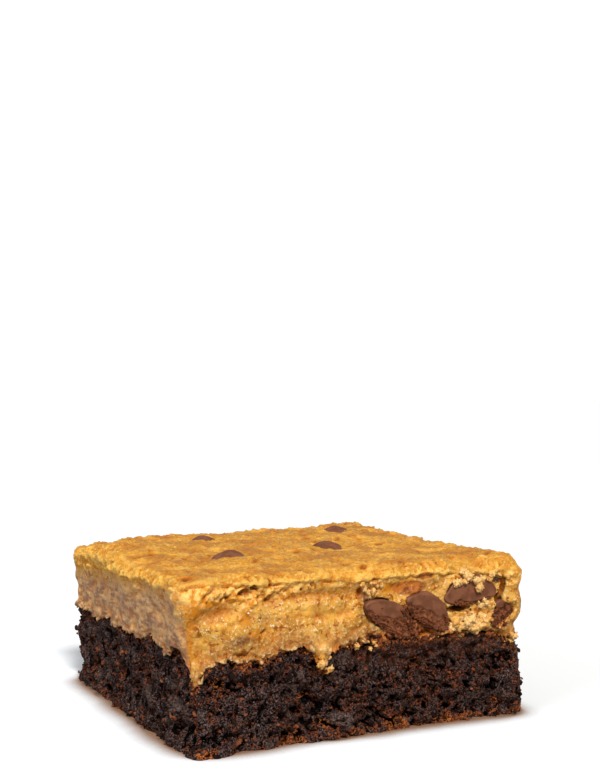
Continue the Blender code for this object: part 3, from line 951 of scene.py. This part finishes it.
def make_side_chips(material):
    """Cut chips: domed a little past the face, smooth above and rough with crumb below."""
    unit, faces = ball(*SIDE_CHIP_CELLS)
    surfaces = []
    for face, chips in SIDE_CHIPS.items():
        for name, along, height, radius, tall, turn in chips:
            centre, across, up, outward = chip_frame(face, along, height, turn)
            local = chip_points(unit, radius, tall)
            seed = along + 2.0 * height
            local *= (1 + 0.07 * noise_at(local, 2.6, (seed, 3, 3)))[:, None]
            uneven = noise_at(local, 2.2, (seed, 1, 2))
            flat = local[:, :1] * across + local[:, 2:] * up
            lift, slope = CHIP_DUST_LINES.get(name, OTHER_DUST_LINE)
            line = lift + slope * (flat @ np.cross((0, 0, 1), outward))
            rough = smooth_step(line - flat[:, 2] + 1.1 * uneven, -0.25, 0.45)
            out = np.where(local[:, 1] > 0, CHIP_PROUD * np.tanh(local[:, 1] / CHIP_PROUD), local[:, 1])
            crags = 0.42 * noise_at(local, 0.9, (seed, 5, 1)) + 0.26 * noise_at(local, 0.45, (seed, 2, 8))
            out += (local[:, 1] > 0) * (crags * rough - 0.2 * rough + 0.15 * uneven)
            points = centre + local[:, :1] * across + local[:, 2:] * up + out[:, None] * outward
            piece = make_mesh(name + "_chocolate", points, faces, {"rough": rough}, material)
            dress(piece, "chocolate", name)
            showing = local[:, 1] > 0.15 * radius
            surfaces.append((points[showing], np.tile(outward, (showing.sum(), 1)), rough[showing]))
    return joined(*surfaces)


def make_top_chips(material):
    """Whole chips that the crust holds, tip up."""
    unit, faces = ball(*TOP_CHIP_CELLS)
    for name, x, y, radius, tall, lean in TOP_CHIPS:
        centre = np.array([[x, y, 0.0]])
        centre[:, 2] = crust_height(centre) - TOP_CHIP_SINK
        centre += out_of_square(centre)
        turn = np.array(Matrix.Rotation(math.radians(lean), 3, "X"))
        local = chip_points(unit, radius, tall)
        dull = 0.5 * smooth_step(noise_at(local, 2.0, (x, y, 1)), 0.0, 0.5)
        local *= (1 + 0.05 * noise_at(local, 2.4, (x, 3, y)))[:, None]
        piece = make_mesh(name + "_chocolate", centre + local @ turn.T, faces, {"rough": dull}, material)
        dress(piece, "chocolate", name)


# Loose crumbs

def unit_crumb(splits):
    """A crumb's corners and faces: twenty faces, and four times as many for each split."""
    mesh = bmesh.new()
    bmesh.ops.create_icosphere(mesh, subdivisions=1 + splits, radius=1.0)
    corners = np.array([vertex.co for vertex in mesh.verts])
    faces = np.array([[vertex.index for vertex in face.verts] for face in mesh.faces])
    mesh.free()
    return corners, faces


def random_turns(count, rng):
    """Rotation matrices from evenly spread random quaternions."""
    drawn = rng.normal(size=(4, count))
    w, x, y, z = drawn / np.linalg.norm(drawn, axis=0)
    return np.array([
        [1 - 2 * (y * y + z * z), 2 * (x * y - w * z), 2 * (x * z + w * y)],
        [2 * (x * y + w * z), 1 - 2 * (x * x + z * z), 2 * (y * z - w * x)],
        [2 * (x * z - w * y), 2 * (y * z + w * x), 1 - 2 * (x * x + y * y)],
    ]).transpose(2, 0, 1)


def crumb_shapes(middles, radii, pale, splits, rng, lumpy=False):
    """Points, faces and tones of many uneven crumbs of one fineness."""
    corners, faces = unit_crumb(splits)
    count, each = len(middles), len(corners)
    reach = rng.uniform(0.9, 1.1, (count, each, 1))
    if lumpy:
        apart = np.arange(count)[:, None, None] * (3.7, 1.9, 5.3)
        lumps = billows((corners[None] + apart).reshape(-1, 3), 0.9, 2, 0.6, 5.5)
        reach = 0.9 + 0.55 * lumps.reshape(count, each, 1)
    shape = corners[None] * reach
    for _ in range(0 if lumpy else CRUMB_CUTS):
        cut = rng.normal(size=(count, 3))
        cut /= np.linalg.norm(cut, axis=1)[:, None]
        beyond = np.maximum(np.einsum("nij,nj->ni", shape, cut) - rng.uniform(0.3, 0.75, (count, 1)), 0)
        shape = shape - beyond[:, :, None] * cut[:, None]
    shape = shape * rng.uniform(0.75, 1.35 if lumpy else 1.6, (count, 1, 3))
    shape = np.einsum("nij,nkj->nki", random_turns(count, rng), shape)
    points = middles[:, None] + shape * radii[:, None, None]
    points[:, :, 2] = np.maximum(points[:, :, 2], 0.0)
    index = faces[None] + each * np.arange(count)[:, None, None]
    tones = np.clip(pale + rng.uniform(-0.5, 0.5, count), 0, 1)
    return points.reshape(-1, 3), index.reshape(-1, 3), np.repeat(tones, each)


def make_crumbs(name, middles, radii, pale, seed, material, slot, lumpy=False):
    """One mesh of many uneven crumbs, the larger ones with more faces, each with a tone near pale."""
    rng = np.random.default_rng(seed)
    pale = np.broadcast_to(pale, len(radii))
    large = radii > LARGE_CRUMB
    points, faces, tones = crumb_shapes(middles[~large], radii[~large], pale[~large], 0, rng)
    more = crumb_shapes(middles[large], radii[large], pale[large], 2 if lumpy else 1, rng, lumpy)
    all_points, all_tones = joined((points, tones), (more[0], more[2]))
    piece = make_mesh(name, all_points, (faces, more[1] + len(points)), {"tone": all_tones}, material)
    if not lumpy:
        piece.data.shade_flat()
    dress(piece, slot)


def spread(points, normals, weights, count, radius, sink, seed):
    """Crumbs strewn over a surface, more where the weights are high: their middles and radii."""
    rng = np.random.default_rng(seed)
    chosen = rng.choice(len(points), count, p=weights / weights.sum())
    low, high = radius
    radii = low + (high - low) * rng.uniform(0, 1, count) ** 2.2
    jitter = rng.normal(0, 0.12, (count, 3))
    middles = points[chosen] + normals[chosen] * (radii * sink)[:, None] + jitter
    return middles, radii


def clusters(features, points, normals, lift, seed):
    """Small things that lie together on the front face, lifted out of it by shares of their radii."""
    rng = np.random.default_rng(seed)
    tree = KDTree(len(points))
    for index, point in enumerate(points.tolist()):
        tree.insert(point, index)
    tree.balance()
    middles, radii = [], []
    for x, z, wide, tall, count, size in features:
        for _ in range(count):
            angle, reach = rng.uniform(0, 2 * math.pi), math.sqrt(rng.uniform(0, 1))
            target = (x + wide * reach * math.cos(angle), -HALF - 0.5, z + tall * reach * math.sin(angle))
            _, index, _ = tree.find(target)
            radius = size * rng.uniform(0.6, 1.25)
            middles.append(points[index] + normals[index] * radius * rng.uniform(*lift))
            radii.append(radius)
    return np.array(middles), np.array(radii)


# Materials

def linear(seen):
    """A colour as it looks, in 0 to 255, turned into the linear light that a shader wants."""
    share = np.array(seen, float) / 255
    return np.where(share > 0.04045, ((share + 0.055) / 1.055) ** 2.4, share / 12.92)


def feed(tree, made, inputs):
    """A node's inputs linked to other nodes or set to values."""
    for name, value in inputs.items():
        if isinstance(value, bpy.types.NodeSocket):
            tree.links.new(value, made.inputs[name])
        else:
            made.inputs[name].default_value = value


def node(tree, kind, inputs=None, **settings):
    made = tree.nodes.new(kind)
    for name, value in settings.items():
        setattr(made, name, value)
    feed(tree, made, inputs or {})
    return made


def mask(tree, name):
    return node(tree, "ShaderNodeAttribute", attribute_name=name).outputs["Fac"]


def place(tree):
    """The point's place on the object, in millimetres."""
    where = node(tree, "ShaderNodeTexCoord").outputs["Object"]
    return node(tree, "ShaderNodeVectorMath", {0: where, "Scale": 1 / MM}, operation="SCALE").outputs[0]


def fine_noise(tree, where, size, detail=2.0, roughness=0.5):
    """Procedural noise with lumps of a size in millimetres, from 0 to 1."""
    inputs = {"Vector": where, "Scale": 1 / size, "Detail": detail, "Roughness": roughness}
    return node(tree, "ShaderNodeTexNoise", inputs).outputs["Fac"]


def fitted(tree, value, low, high, to_low=0.0, to_high=1.0):
    """A value's range stretched or squeezed to another, smoothly and clamped."""
    inputs = {"Value": value, "From Min": low, "From Max": high, "To Min": to_low, "To Max": to_high}
    return node(tree, "ShaderNodeMapRange", inputs, interpolation_type="SMOOTHSTEP").outputs[0]


def mix(tree, factor, first, second):
    """Two colours mixed; a tuple is a colour as it looks."""
    first, second = ((*linear(c), 1.0) if isinstance(c, tuple) else c for c in (first, second))
    return node(tree, "ShaderNodeMix", {0: factor, 6: first, 7: second}, data_type="RGBA").outputs[2]


def graded(tree, value, low, high, first, second, most=1.0):
    """One colour turning into another as a value runs from low to high, at most by that share."""
    return mix(tree, fitted(tree, value, low, high, 0.0, most), first, second)


def layered(tree, seen, layers):
    """Colours laid one after another over what is seen: value, low, high, most and colour."""
    for value, low, high, most, colour in layers:
        seen = graded(tree, value, low, high, seen, colour, most)
    return seen


def math_node(tree, operation, first, second):
    return node(tree, "ShaderNodeMath", {0: first, 1: second}, operation=operation).outputs[0]


def times(tree, first, second):
    return math_node(tree, "MULTIPLY", first, second)


def bump(tree, height, distance, strength, before=None):
    inputs = {"Height": height, "Distance": distance * MM, "Strength": strength}
    if before is not None:
        inputs["Normal"] = before
    return node(tree, "ShaderNodeBump", inputs).outputs["Normal"]


def new_material(name):
    material = bpy.data.materials.new(name)
    material.use_nodes = True
    return material, material.node_tree, material.node_tree.nodes["Principled BSDF"]


def brownie_material():
    material, tree, shader = new_material("brownie_crumb")
    where = place(tree)
    rise = mask(tree, "rise")
    edge = math_node(tree, "MAXIMUM", mask(tree, "foot"), mask(tree, "seam"))
    edge = math_node(tree, "MAXIMUM", edge, mask(tree, "ember"))
    grit = fine_noise(tree, where, 0.3, 2.0, 0.6)
    seen = graded(tree, grit, 0.42, 0.60, (18, 13, 13), (100, 78, 75))

    open_crumb = fine_noise(tree, where, 0.78, 3.0, 0.68)
    height = math_node(tree, "ADD", open_crumb, fitted(tree, rise, -0.9, 0.9, -0.14, 0.14))
    broad = fitted(tree, fine_noise(tree, where, 4.5, 2.0), 0.40, 0.62, -0.03, 0.05)
    broad = math_node(tree, "ADD", broad, times(tree, edge, 0.13))
    broad = math_node(tree, "SUBTRACT", broad, times(tree, mask(tree, "dense"), 0.06))
    coarse = fitted(tree, fine_noise(tree, where, 1.3, 2.0, 0.6), 0.3, 0.7, -0.07, 0.07)
    near_gap = math_node(tree, "SUBTRACT", math_node(tree, "ADD", height, coarse), broad)
    reddish = graded(tree, grit, 0.38, 0.62, (70, 34, 23), (150, 84, 56))
    glowing = graded(tree, grit, 0.38, 0.60, (112, 55, 28), (200, 118, 60))
    reddish = graded(tree, edge, 0.3, 1.0, reddish, glowing, 0.9)
    seen = graded(tree, near_gap, 0.505, 0.485, seen, reddish)
    # Painted shade: near-black in the crumb's gaps and hollows where rise is low, less in dense patches
    gap = math_node(tree, "MAXIMUM", fitted(tree, height, 0.47, 0.435), fitted(tree, rise, -0.15, -0.7))
    filled = math_node(tree, "MAXIMUM", mask(tree, "dense_painted_sheen"), mask(tree, "compact"))
    gap = times(tree, gap, fitted(tree, filled, 0.2, 0.8, 1.0, 0.5))
    seen = mix(tree, gap, seen, (3, 1, 1))
    seen = mix(tree, times(tree, mask(tree, "compact"), 0.2), seen, (104, 78, 68))
    # Painted sheen: dense patches turn a lighter grey, standing in for the shine of moist fudge
    painted_sheen_colour = graded(tree, grit, 0.40, 0.62, (68, 56, 54), (116, 99, 95))
    seen = graded(tree, mask(tree, "dense_painted_sheen"), 0.2, 0.8, seen, painted_sheen_colour, 0.7)
    # Painted glints: light grey flecks on dense crumb, standing in for its shine
    glint = times(tree, fitted(tree, grit, 0.60, 0.66), mask(tree, "dense"))
    seen = mix(tree, times(tree, glint, fitted(tree, coarse, 0.01, 0.03, 0.0, 0.7)), seen, (136, 126, 126))
    feed(tree, shader, {
        "Base Color": seen,
        "Roughness": fitted(tree, fine_noise(tree, where, 1.2, 2.0), 0.42, 0.62, 0.3, 0.8),
        "Normal": bump(tree, grit, 0.35, 1.0, bump(tree, open_crumb, 1.2, 1.0)),
        "Specular IOR Level": 0.06,
    })
    return material


def crumb_material(name, dark, light, roughness, specular):
    material, tree, shader = new_material(name)
    where = place(tree)
    grain = fine_noise(tree, where, 0.35, 3.0, 0.6)
    seen = mix(tree, mask(tree, "tone"), dark, light)
    shade = tuple(0.8 * value for value in dark)
    seen = graded(tree, grain, 0.55, 0.4, seen, shade, 0.6)
    feed(tree, shader, {
        "Base Color": seen,
        "Roughness": roughness,
        "Normal": bump(tree, grain, 0.2, 0.8),
        "Specular IOR Level": specular,
    })
    return material


def cookie_material():
    material, tree, shader = new_material("cookie_dough")
    where = place(tree)
    rise = mask(tree, "rise")
    broad = fine_noise(tree, where, 3.4, 3.0)
    tint = fine_noise(tree, where, 2.3, 3.0, 0.6)
    grain = fine_noise(tree, where, 0.50, 2.5, 0.6)
    crisp = fine_noise(tree, where, 1.2, 4.0, 0.66)

    def veiled(seen, amount, strength, colour):
        """The colour laid over what is seen, unevenly, as the fine grain lets it through."""
        uneven = fitted(tree, grain, 0.32, 0.62, strength, 0.6 * strength)
        return mix(tree, times(tree, amount, uneven), seen, colour)

    body = graded(tree, broad, 0.36, 0.64, (191, 138, 52), (225, 180, 90))
    body = layered(tree, body, (
        (tint, 0.52, 0.64, 0.6, (212, 144, 32)),
        (tint, 0.46, 0.36, 0.6, (218, 160, 90)),
        # pale speckles, partly painted highlight in place of the dough's shine
        (grain, 0.53, 0.65, 1.0, (236, 210, 156)),
        (crisp, 0.48, 0.37, 1.0, (150, 80, 8)),
    ))
    crust = graded(tree, broad, 0.36, 0.64, (201, 140, 46), (230, 171, 68))
    crust = layered(tree, crust, (
        # pale speckles, partly painted highlight in place of the crust's shine
        (grain, 0.52, 0.66, 0.65, (248, 205, 112)),
        (crisp, 0.42, 0.34, 0.6, (168, 98, 26)),
    ))
    # Painted highlight: the crust's raised rims on the cut faces turn lighter
    off_top = math_node(tree, "SUBTRACT", 1.0, mask(tree, "top"))
    crest = times(tree, fitted(tree, rise, 0.02, 0.25, 0.0, 0.6), off_top)
    crust = mix(tree, crest, crust, (250, 206, 112))
    toasted = fine_noise(tree, where, 7.0, 3.0, 0.6)
    toasted = times(tree, fitted(tree, toasted, 0.46, 0.62, 0.0, 0.75), mask(tree, "top"))
    crust = mix(tree, toasted, crust, (176, 112, 42))
    seen = mix(tree, mask(tree, "crust"), body, crust)

    seen = veiled(seen, mask(tree, "bright"), 0.7, (252, 192, 84))
    crumbly = graded(tree, crisp, 0.44, 0.54, (219, 145, 36), (250, 206, 122))
    seen = graded(tree, mask(tree, "flake"), 0.05, 0.5, seen, crumbly, 0.85)
    seen = mix(tree, times(tree, mask(tree, "orange"), 0.75), seen, (212, 134, 20))
    seen = veiled(seen, mask(tree, "low"), 1.1, (146, 102, 56))
    stretched = {0: where, 1: (1.0, 0.37, 1.0)}
    along = node(tree, "ShaderNodeVectorMath", stretched, operation="MULTIPLY").outputs[0]
    mottled = fine_noise(tree, along, 1.2, 3.0, 0.6)
    pores = fine_noise(tree, along, 0.55, 2.0)
    left_tone_and_shade = graded(tree, mottled, 0.38, 0.62, (138, 100, 78), (210, 166, 116))
    left_tone_and_shade = layered(tree, left_tone_and_shade, (
        (pores, 0.58, 0.70, 0.8, (226, 184, 130)),
        (pores, 0.42, 0.33, 0.7, (122, 80, 52)),
    ))
    # the left cut face: greyer and darker, partly its own smoother cut and partly painted shade for the side
    # turned from the key light
    seen = mix(tree, times(tree, mask(tree, "left"), 0.92), seen, left_tone_and_shade)
    smeared = graded(tree, crisp, 0.42, 0.58, (118, 60, 26), (184, 104, 44))
    seen = graded(tree, mask(tree, "smear"), 0.15, 0.6, seen, smeared, 0.9)
    # a mauve smudge, and painted shade in a crack
    seen = veiled(seen, mask(tree, "smudge_and_shade"), 1.1, (116, 74, 50))
    # painted shade: the darkest ovals turn hollows and crevices near chocolate brown, with some smeared
    # chocolate
    seen = veiled(seen, fitted(tree, mask(tree, "stain_and_shade"), 0.1, 0.6), 1.4, (62, 30, 18))
    lit = times(tree, fitted(tree, mask(tree, "fringe"), 0.2, 0.9), fitted(tree, rise, 0.1, 0.5, 0.0, 0.75))
    seen = mix(tree, lit, seen, (216, 178, 126))
    ember = graded(tree, crisp, 0.42, 0.58, (104, 52, 24), (206, 128, 62))
    seen = layered(tree, seen, (
        (mask(tree, "ember"), 0.15, 0.7, 0.9, ember),
        # painted shade: the dough's hollows, where rise is low, darker and more orange
        (rise, 0.08, -0.25, 0.4, (212, 128, 34)),
        (rise, -0.1, -0.6, 1.0, (160, 88, 14)),
        (rise, -0.5, -1.1, 1.0, (84, 42, 10)),
        # painted shade: dark brown where the dough sinks behind a chip's edge
        (mask(tree, "chip"), 0.1, 0.8, 0.9, (58, 30, 16)),
    ))
    tiny = fine_noise(tree, where, 0.26, 2.0, 0.6)
    upright = fitted(tree, mask(tree, "left"), 0.0, 1.0, 1.0, 0.12)
    rugged = bump(tree, times(tree, crisp, mask(tree, "crust")), 0.7, 0.8)
    coarse = bump(tree, times(tree, grain, upright), 0.4, 0.6, rugged)
    feed(tree, shader, {
        "Base Color": seen,
        "Roughness": fitted(tree, fine_noise(tree, where, 0.9, 2.0), 0.42, 0.62, 0.2, 0.6),
        "Normal": bump(tree, times(tree, tiny, upright), 0.15, 0.6, coarse),
        "Specular IOR Level": 0.2,
        "Subsurface Weight": 0.4,
        "Subsurface Radius": (0.6, 0.55, 0.45),
        "Subsurface Scale": 0.5 * MM,
    })
    return material


def chocolate_material():
    material, tree, shader = new_material("chip_chocolate")
    where = place(tree)
    rough = mask(tree, "rough")
    grain = fine_noise(tree, where, 0.4, 3.0, 0.65)
    smooth = graded(tree, fine_noise(tree, where, 2.0), 0.4, 0.6, (106, 64, 43), (126, 79, 56))
    dusty = graded(tree, grain, 0.42, 0.6, (82, 42, 25), (150, 86, 46))
    bare = fitted(tree, fine_noise(tree, where, 1.4, 2.0), 0.42, 0.56, 0.45, 1.0)
    seen = mix(tree, times(tree, rough, bare), smooth, dusty)
    lumpy = times(tree, grain, fitted(tree, rough, 0, 1, 0.05, 1.0))
    feed(tree, shader, {
        "Base Color": seen,
        "Roughness": fitted(tree, rough, 0, 1, 0.5, 0.7),
        "Normal": bump(tree, lumpy, 0.4, 0.9),
        "Specular IOR Level": 0.3,
    })
    return material


# Light, floor and camera
CAMERA_PLACE = (-110.42, -221.10, 60.42)
CAMERA_YAW = 27.11  # degrees from +Y towards +X
PHOTO_WIDTH, PHOTO_HEIGHT = 600, 783
FOCAL_PIXELS = 1232.0
SENSOR = 36.0
SUN_AZIMUTH = -12.0  # degrees from -Y towards +X
SUN_HEIGHT = 42.0
SUN_STRENGTH = 3.2
SUN_SIZE = 12.0
SUN_TINT = (1.0, 0.93, 0.83)
FILL_PLACE = (-420, -120, 200)
FILL_AIM = (0, 0, 15)
FILL_SIZE = 260
FILL_STRENGTH = 0.75
FILL_TINT = (0.92, 0.95, 1.0)
SKY_LIGHT = {"Color": (1.0, 0.92, 0.83, 1), "Strength": 0.34}
WHITE_GROUND = {"Color": (1, 1, 1, 1), "Strength": 1.05}
FLOOR_GLOW = {"Color": (1, 1, 1, 1), "Strength": 0.06}
FLOOR_BOUNCE = {"Color": (0.36, 0.35, 0.34, 1)}  # the floor as other surfaces see it
CONTACT_REACH = 8.0  # how far the bar's foot shades the floor
FLOOR_REACH = 6.0  # in metres, so that the floor runs out of every view
# the floor's painted contact shadow at the bar's foot
PAINTED_FOOT_SHADOW = (130, 88, 46)
FLOOR_OPEN = (247, 256, 268)  # blue past full, which cancels the warm light


def make_camera():
    camera = bpy.data.cameras.new("camera")
    camera.sensor_width = SENSOR
    camera.lens = FOCAL_PIXELS / max(PHOTO_WIDTH, PHOTO_HEIGHT) * SENSOR
    camera.clip_start = 0.01
    obj = add_object("camera", camera)
    obj.location = Vector(CAMERA_PLACE) * MM
    obj.rotation_euler = (math.pi / 2, 0, -math.radians(CAMERA_YAW))
    bpy.context.scene.camera = obj


def add_light(name, kind, strength, tint):
    light = bpy.data.lights.new(name, kind)
    light.energy = strength
    light.color = tint
    return light, add_object(name, light)


def make_sun():
    light, obj = add_light("key", "SUN", SUN_STRENGTH, SUN_TINT)
    light.angle = math.radians(SUN_SIZE)
    obj.rotation_euler = (math.radians(90 - SUN_HEIGHT), 0, math.radians(SUN_AZIMUTH))


def make_fill():
    light, obj = add_light("side_fill", "AREA", FILL_STRENGTH, FILL_TINT)
    light.size = FILL_SIZE * MM
    obj.location = Vector(FILL_PLACE) * MM
    aim = Vector(FILL_AIM) * MM - obj.location
    obj.rotation_euler = aim.to_track_quat("-Z", "Y").to_euler()


def shown_to_camera(tree, seen, otherwise):
    """One shader where the camera looks straight at a thing, and another where light bounces off it."""
    path = node(tree, "ShaderNodeLightPath").outputs["Is Camera Ray"]
    return node(tree, "ShaderNodeMixShader", {0: path, 1: otherwise, 2: seen}).outputs[0]


def make_floor():
    material, tree, shader = new_material("pale_floor")
    tree.nodes.remove(shader)
    output = tree.nodes["Material Output"]
    # Painted shadow: the floor turns brown near the bar's foot, where ambient occlusion finds it close
    nook = node(tree, "ShaderNodeAmbientOcclusion", {"Distance": CONTACT_REACH * MM}).outputs["AO"]
    contact_shadow_colour = mix(tree, fitted(tree, nook, 0.5, 0.92), PAINTED_FOOT_SHADOW, FLOOR_OPEN)
    white = node(tree, "ShaderNodeBsdfDiffuse", {"Color": contact_shadow_colour})
    glow = node(tree, "ShaderNodeEmission", FLOOR_GLOW)
    bright = node(tree, "ShaderNodeAddShader", {0: white.outputs[0], 1: glow.outputs[0]})
    grey = node(tree, "ShaderNodeBsdfDiffuse", FLOOR_BOUNCE)
    tree.links.new(shown_to_camera(tree, bright.outputs[0], grey.outputs[0]), output.inputs["Surface"])
    mesh = bpy.data.meshes.new("floor")
    corners = [(x * FLOOR_REACH, y * FLOOR_REACH, 0) for x, y in ((-1, -1), (1, -1), (1, 1), (-1, 1))]
    mesh.from_pydata(corners, [], [(0, 1, 2, 3)])
    mesh.materials.append(material)
    floor = add_object("floor", mesh)


def make_world():
    world = bpy.data.worlds.new("soft_light")
    world.use_nodes = True
    tree = world.node_tree
    tree.nodes.remove(tree.nodes["Background"])
    sky = node(tree, "ShaderNodeBackground", SKY_LIGHT)
    white = node(tree, "ShaderNodeBackground", WHITE_GROUND)
    output = tree.nodes["World Output"]
    tree.links.new(shown_to_camera(tree, white.outputs[0], sky.outputs[0]), output.inputs["Surface"])
    bpy.context.scene.world = world
    bpy.context.scene.view_settings.view_transform = "Standard"


def main():
    brownie, brownie_skin, brownie_masks = make_brownie(brownie_material())
    cookie, cookie_skin, cookie_masks = make_cookie(cookie_material())
    chocolate = chocolate_material()
    chips, chip_skin, chip_rough = make_side_chips(chocolate)
    make_top_chips(chocolate)

    reddish, dark, glint, pale = (crumb_material(name, *look) for name, look in CRUMB_LOOKS.items())
    around = joined((brownie, brownie_skin), (cookie, cookie_skin), (chips, chip_skin))

    rise, foot, seam, dense = (brownie_masks[name] for name in ("rise", "foot", "seam", "dense"))
    loose = smooth_step(noise_at(brownie, 3.2, (5, 9, 1)), -0.05, 0.35)
    crest = smooth_step(rise, -0.5, 0.4)
    weights = (0.08 + 0.9 * loose + 1.8 * foot + 1.8 * seam) * (0.2 + 0.8 * crest) * (1 - 0.5 * dense)
    strewn = spread(brownie, brownie_skin, weights, REDDISH_COUNT, REDDISH_RADIUS, 0.15, 11)
    dust = spread(chips, chip_skin, chip_rough + 0.02, DUST_COUNT, DUST_RADIUS, 0.2, 12)
    rubble = clusters(RUBBLE_CLUSTERS, *around, (0.1, 0.6), 14)
    make_crumbs("reddish_crumbs", *joined(strewn, dust, rubble), 0.5, 13, reddish, "brownie")

    strewn = spread(brownie, brownie_skin, 0.3 + 0.7 * (1 - dense), DARK_COUNT, DARK_RADIUS, -0.05, 21)
    make_crumbs("dark_crumbs", *strewn, 0.5, 22, dark, "brownie")

    weights = 0.02 + 1.2 * cookie_masks["fringe"] + 0.1 * cookie_masks["flake"]
    weights = weights * (1 - 0.95 * cookie_masks["left"]) * (1 - cookie_masks["chip"])
    strewn = spread(cookie, cookie_skin, weights, PALE_COUNT, PALE_RADIUS, -0.1, 31)
    middles, radii = joined(strewn, clusters(PALE_CLUSTERS, *around, (0.2, 0.6), 32))
    paleness = 0.2 + 0.6 * smooth_step(middles[:, 0], -14.0, -4.0) * (middles[:, 1] < -HALF + 2)
    make_crumbs("pale_crumbs", middles, radii, paleness, 33, pale, "cookie", lumpy=True)
    # Painted glints: tiny near-white crumbs on the front face's dough
    glints = clusters(GLINT_CLUSTERS, cookie, cookie_skin, (-0.5, 0.0), 41)
    make_crumbs("painted_glint_crumbs", *glints, 0.5, 42, glint, "cookie")

    make_floor()
    make_world()
    make_sun()
    make_fill()
    make_camera()


main()
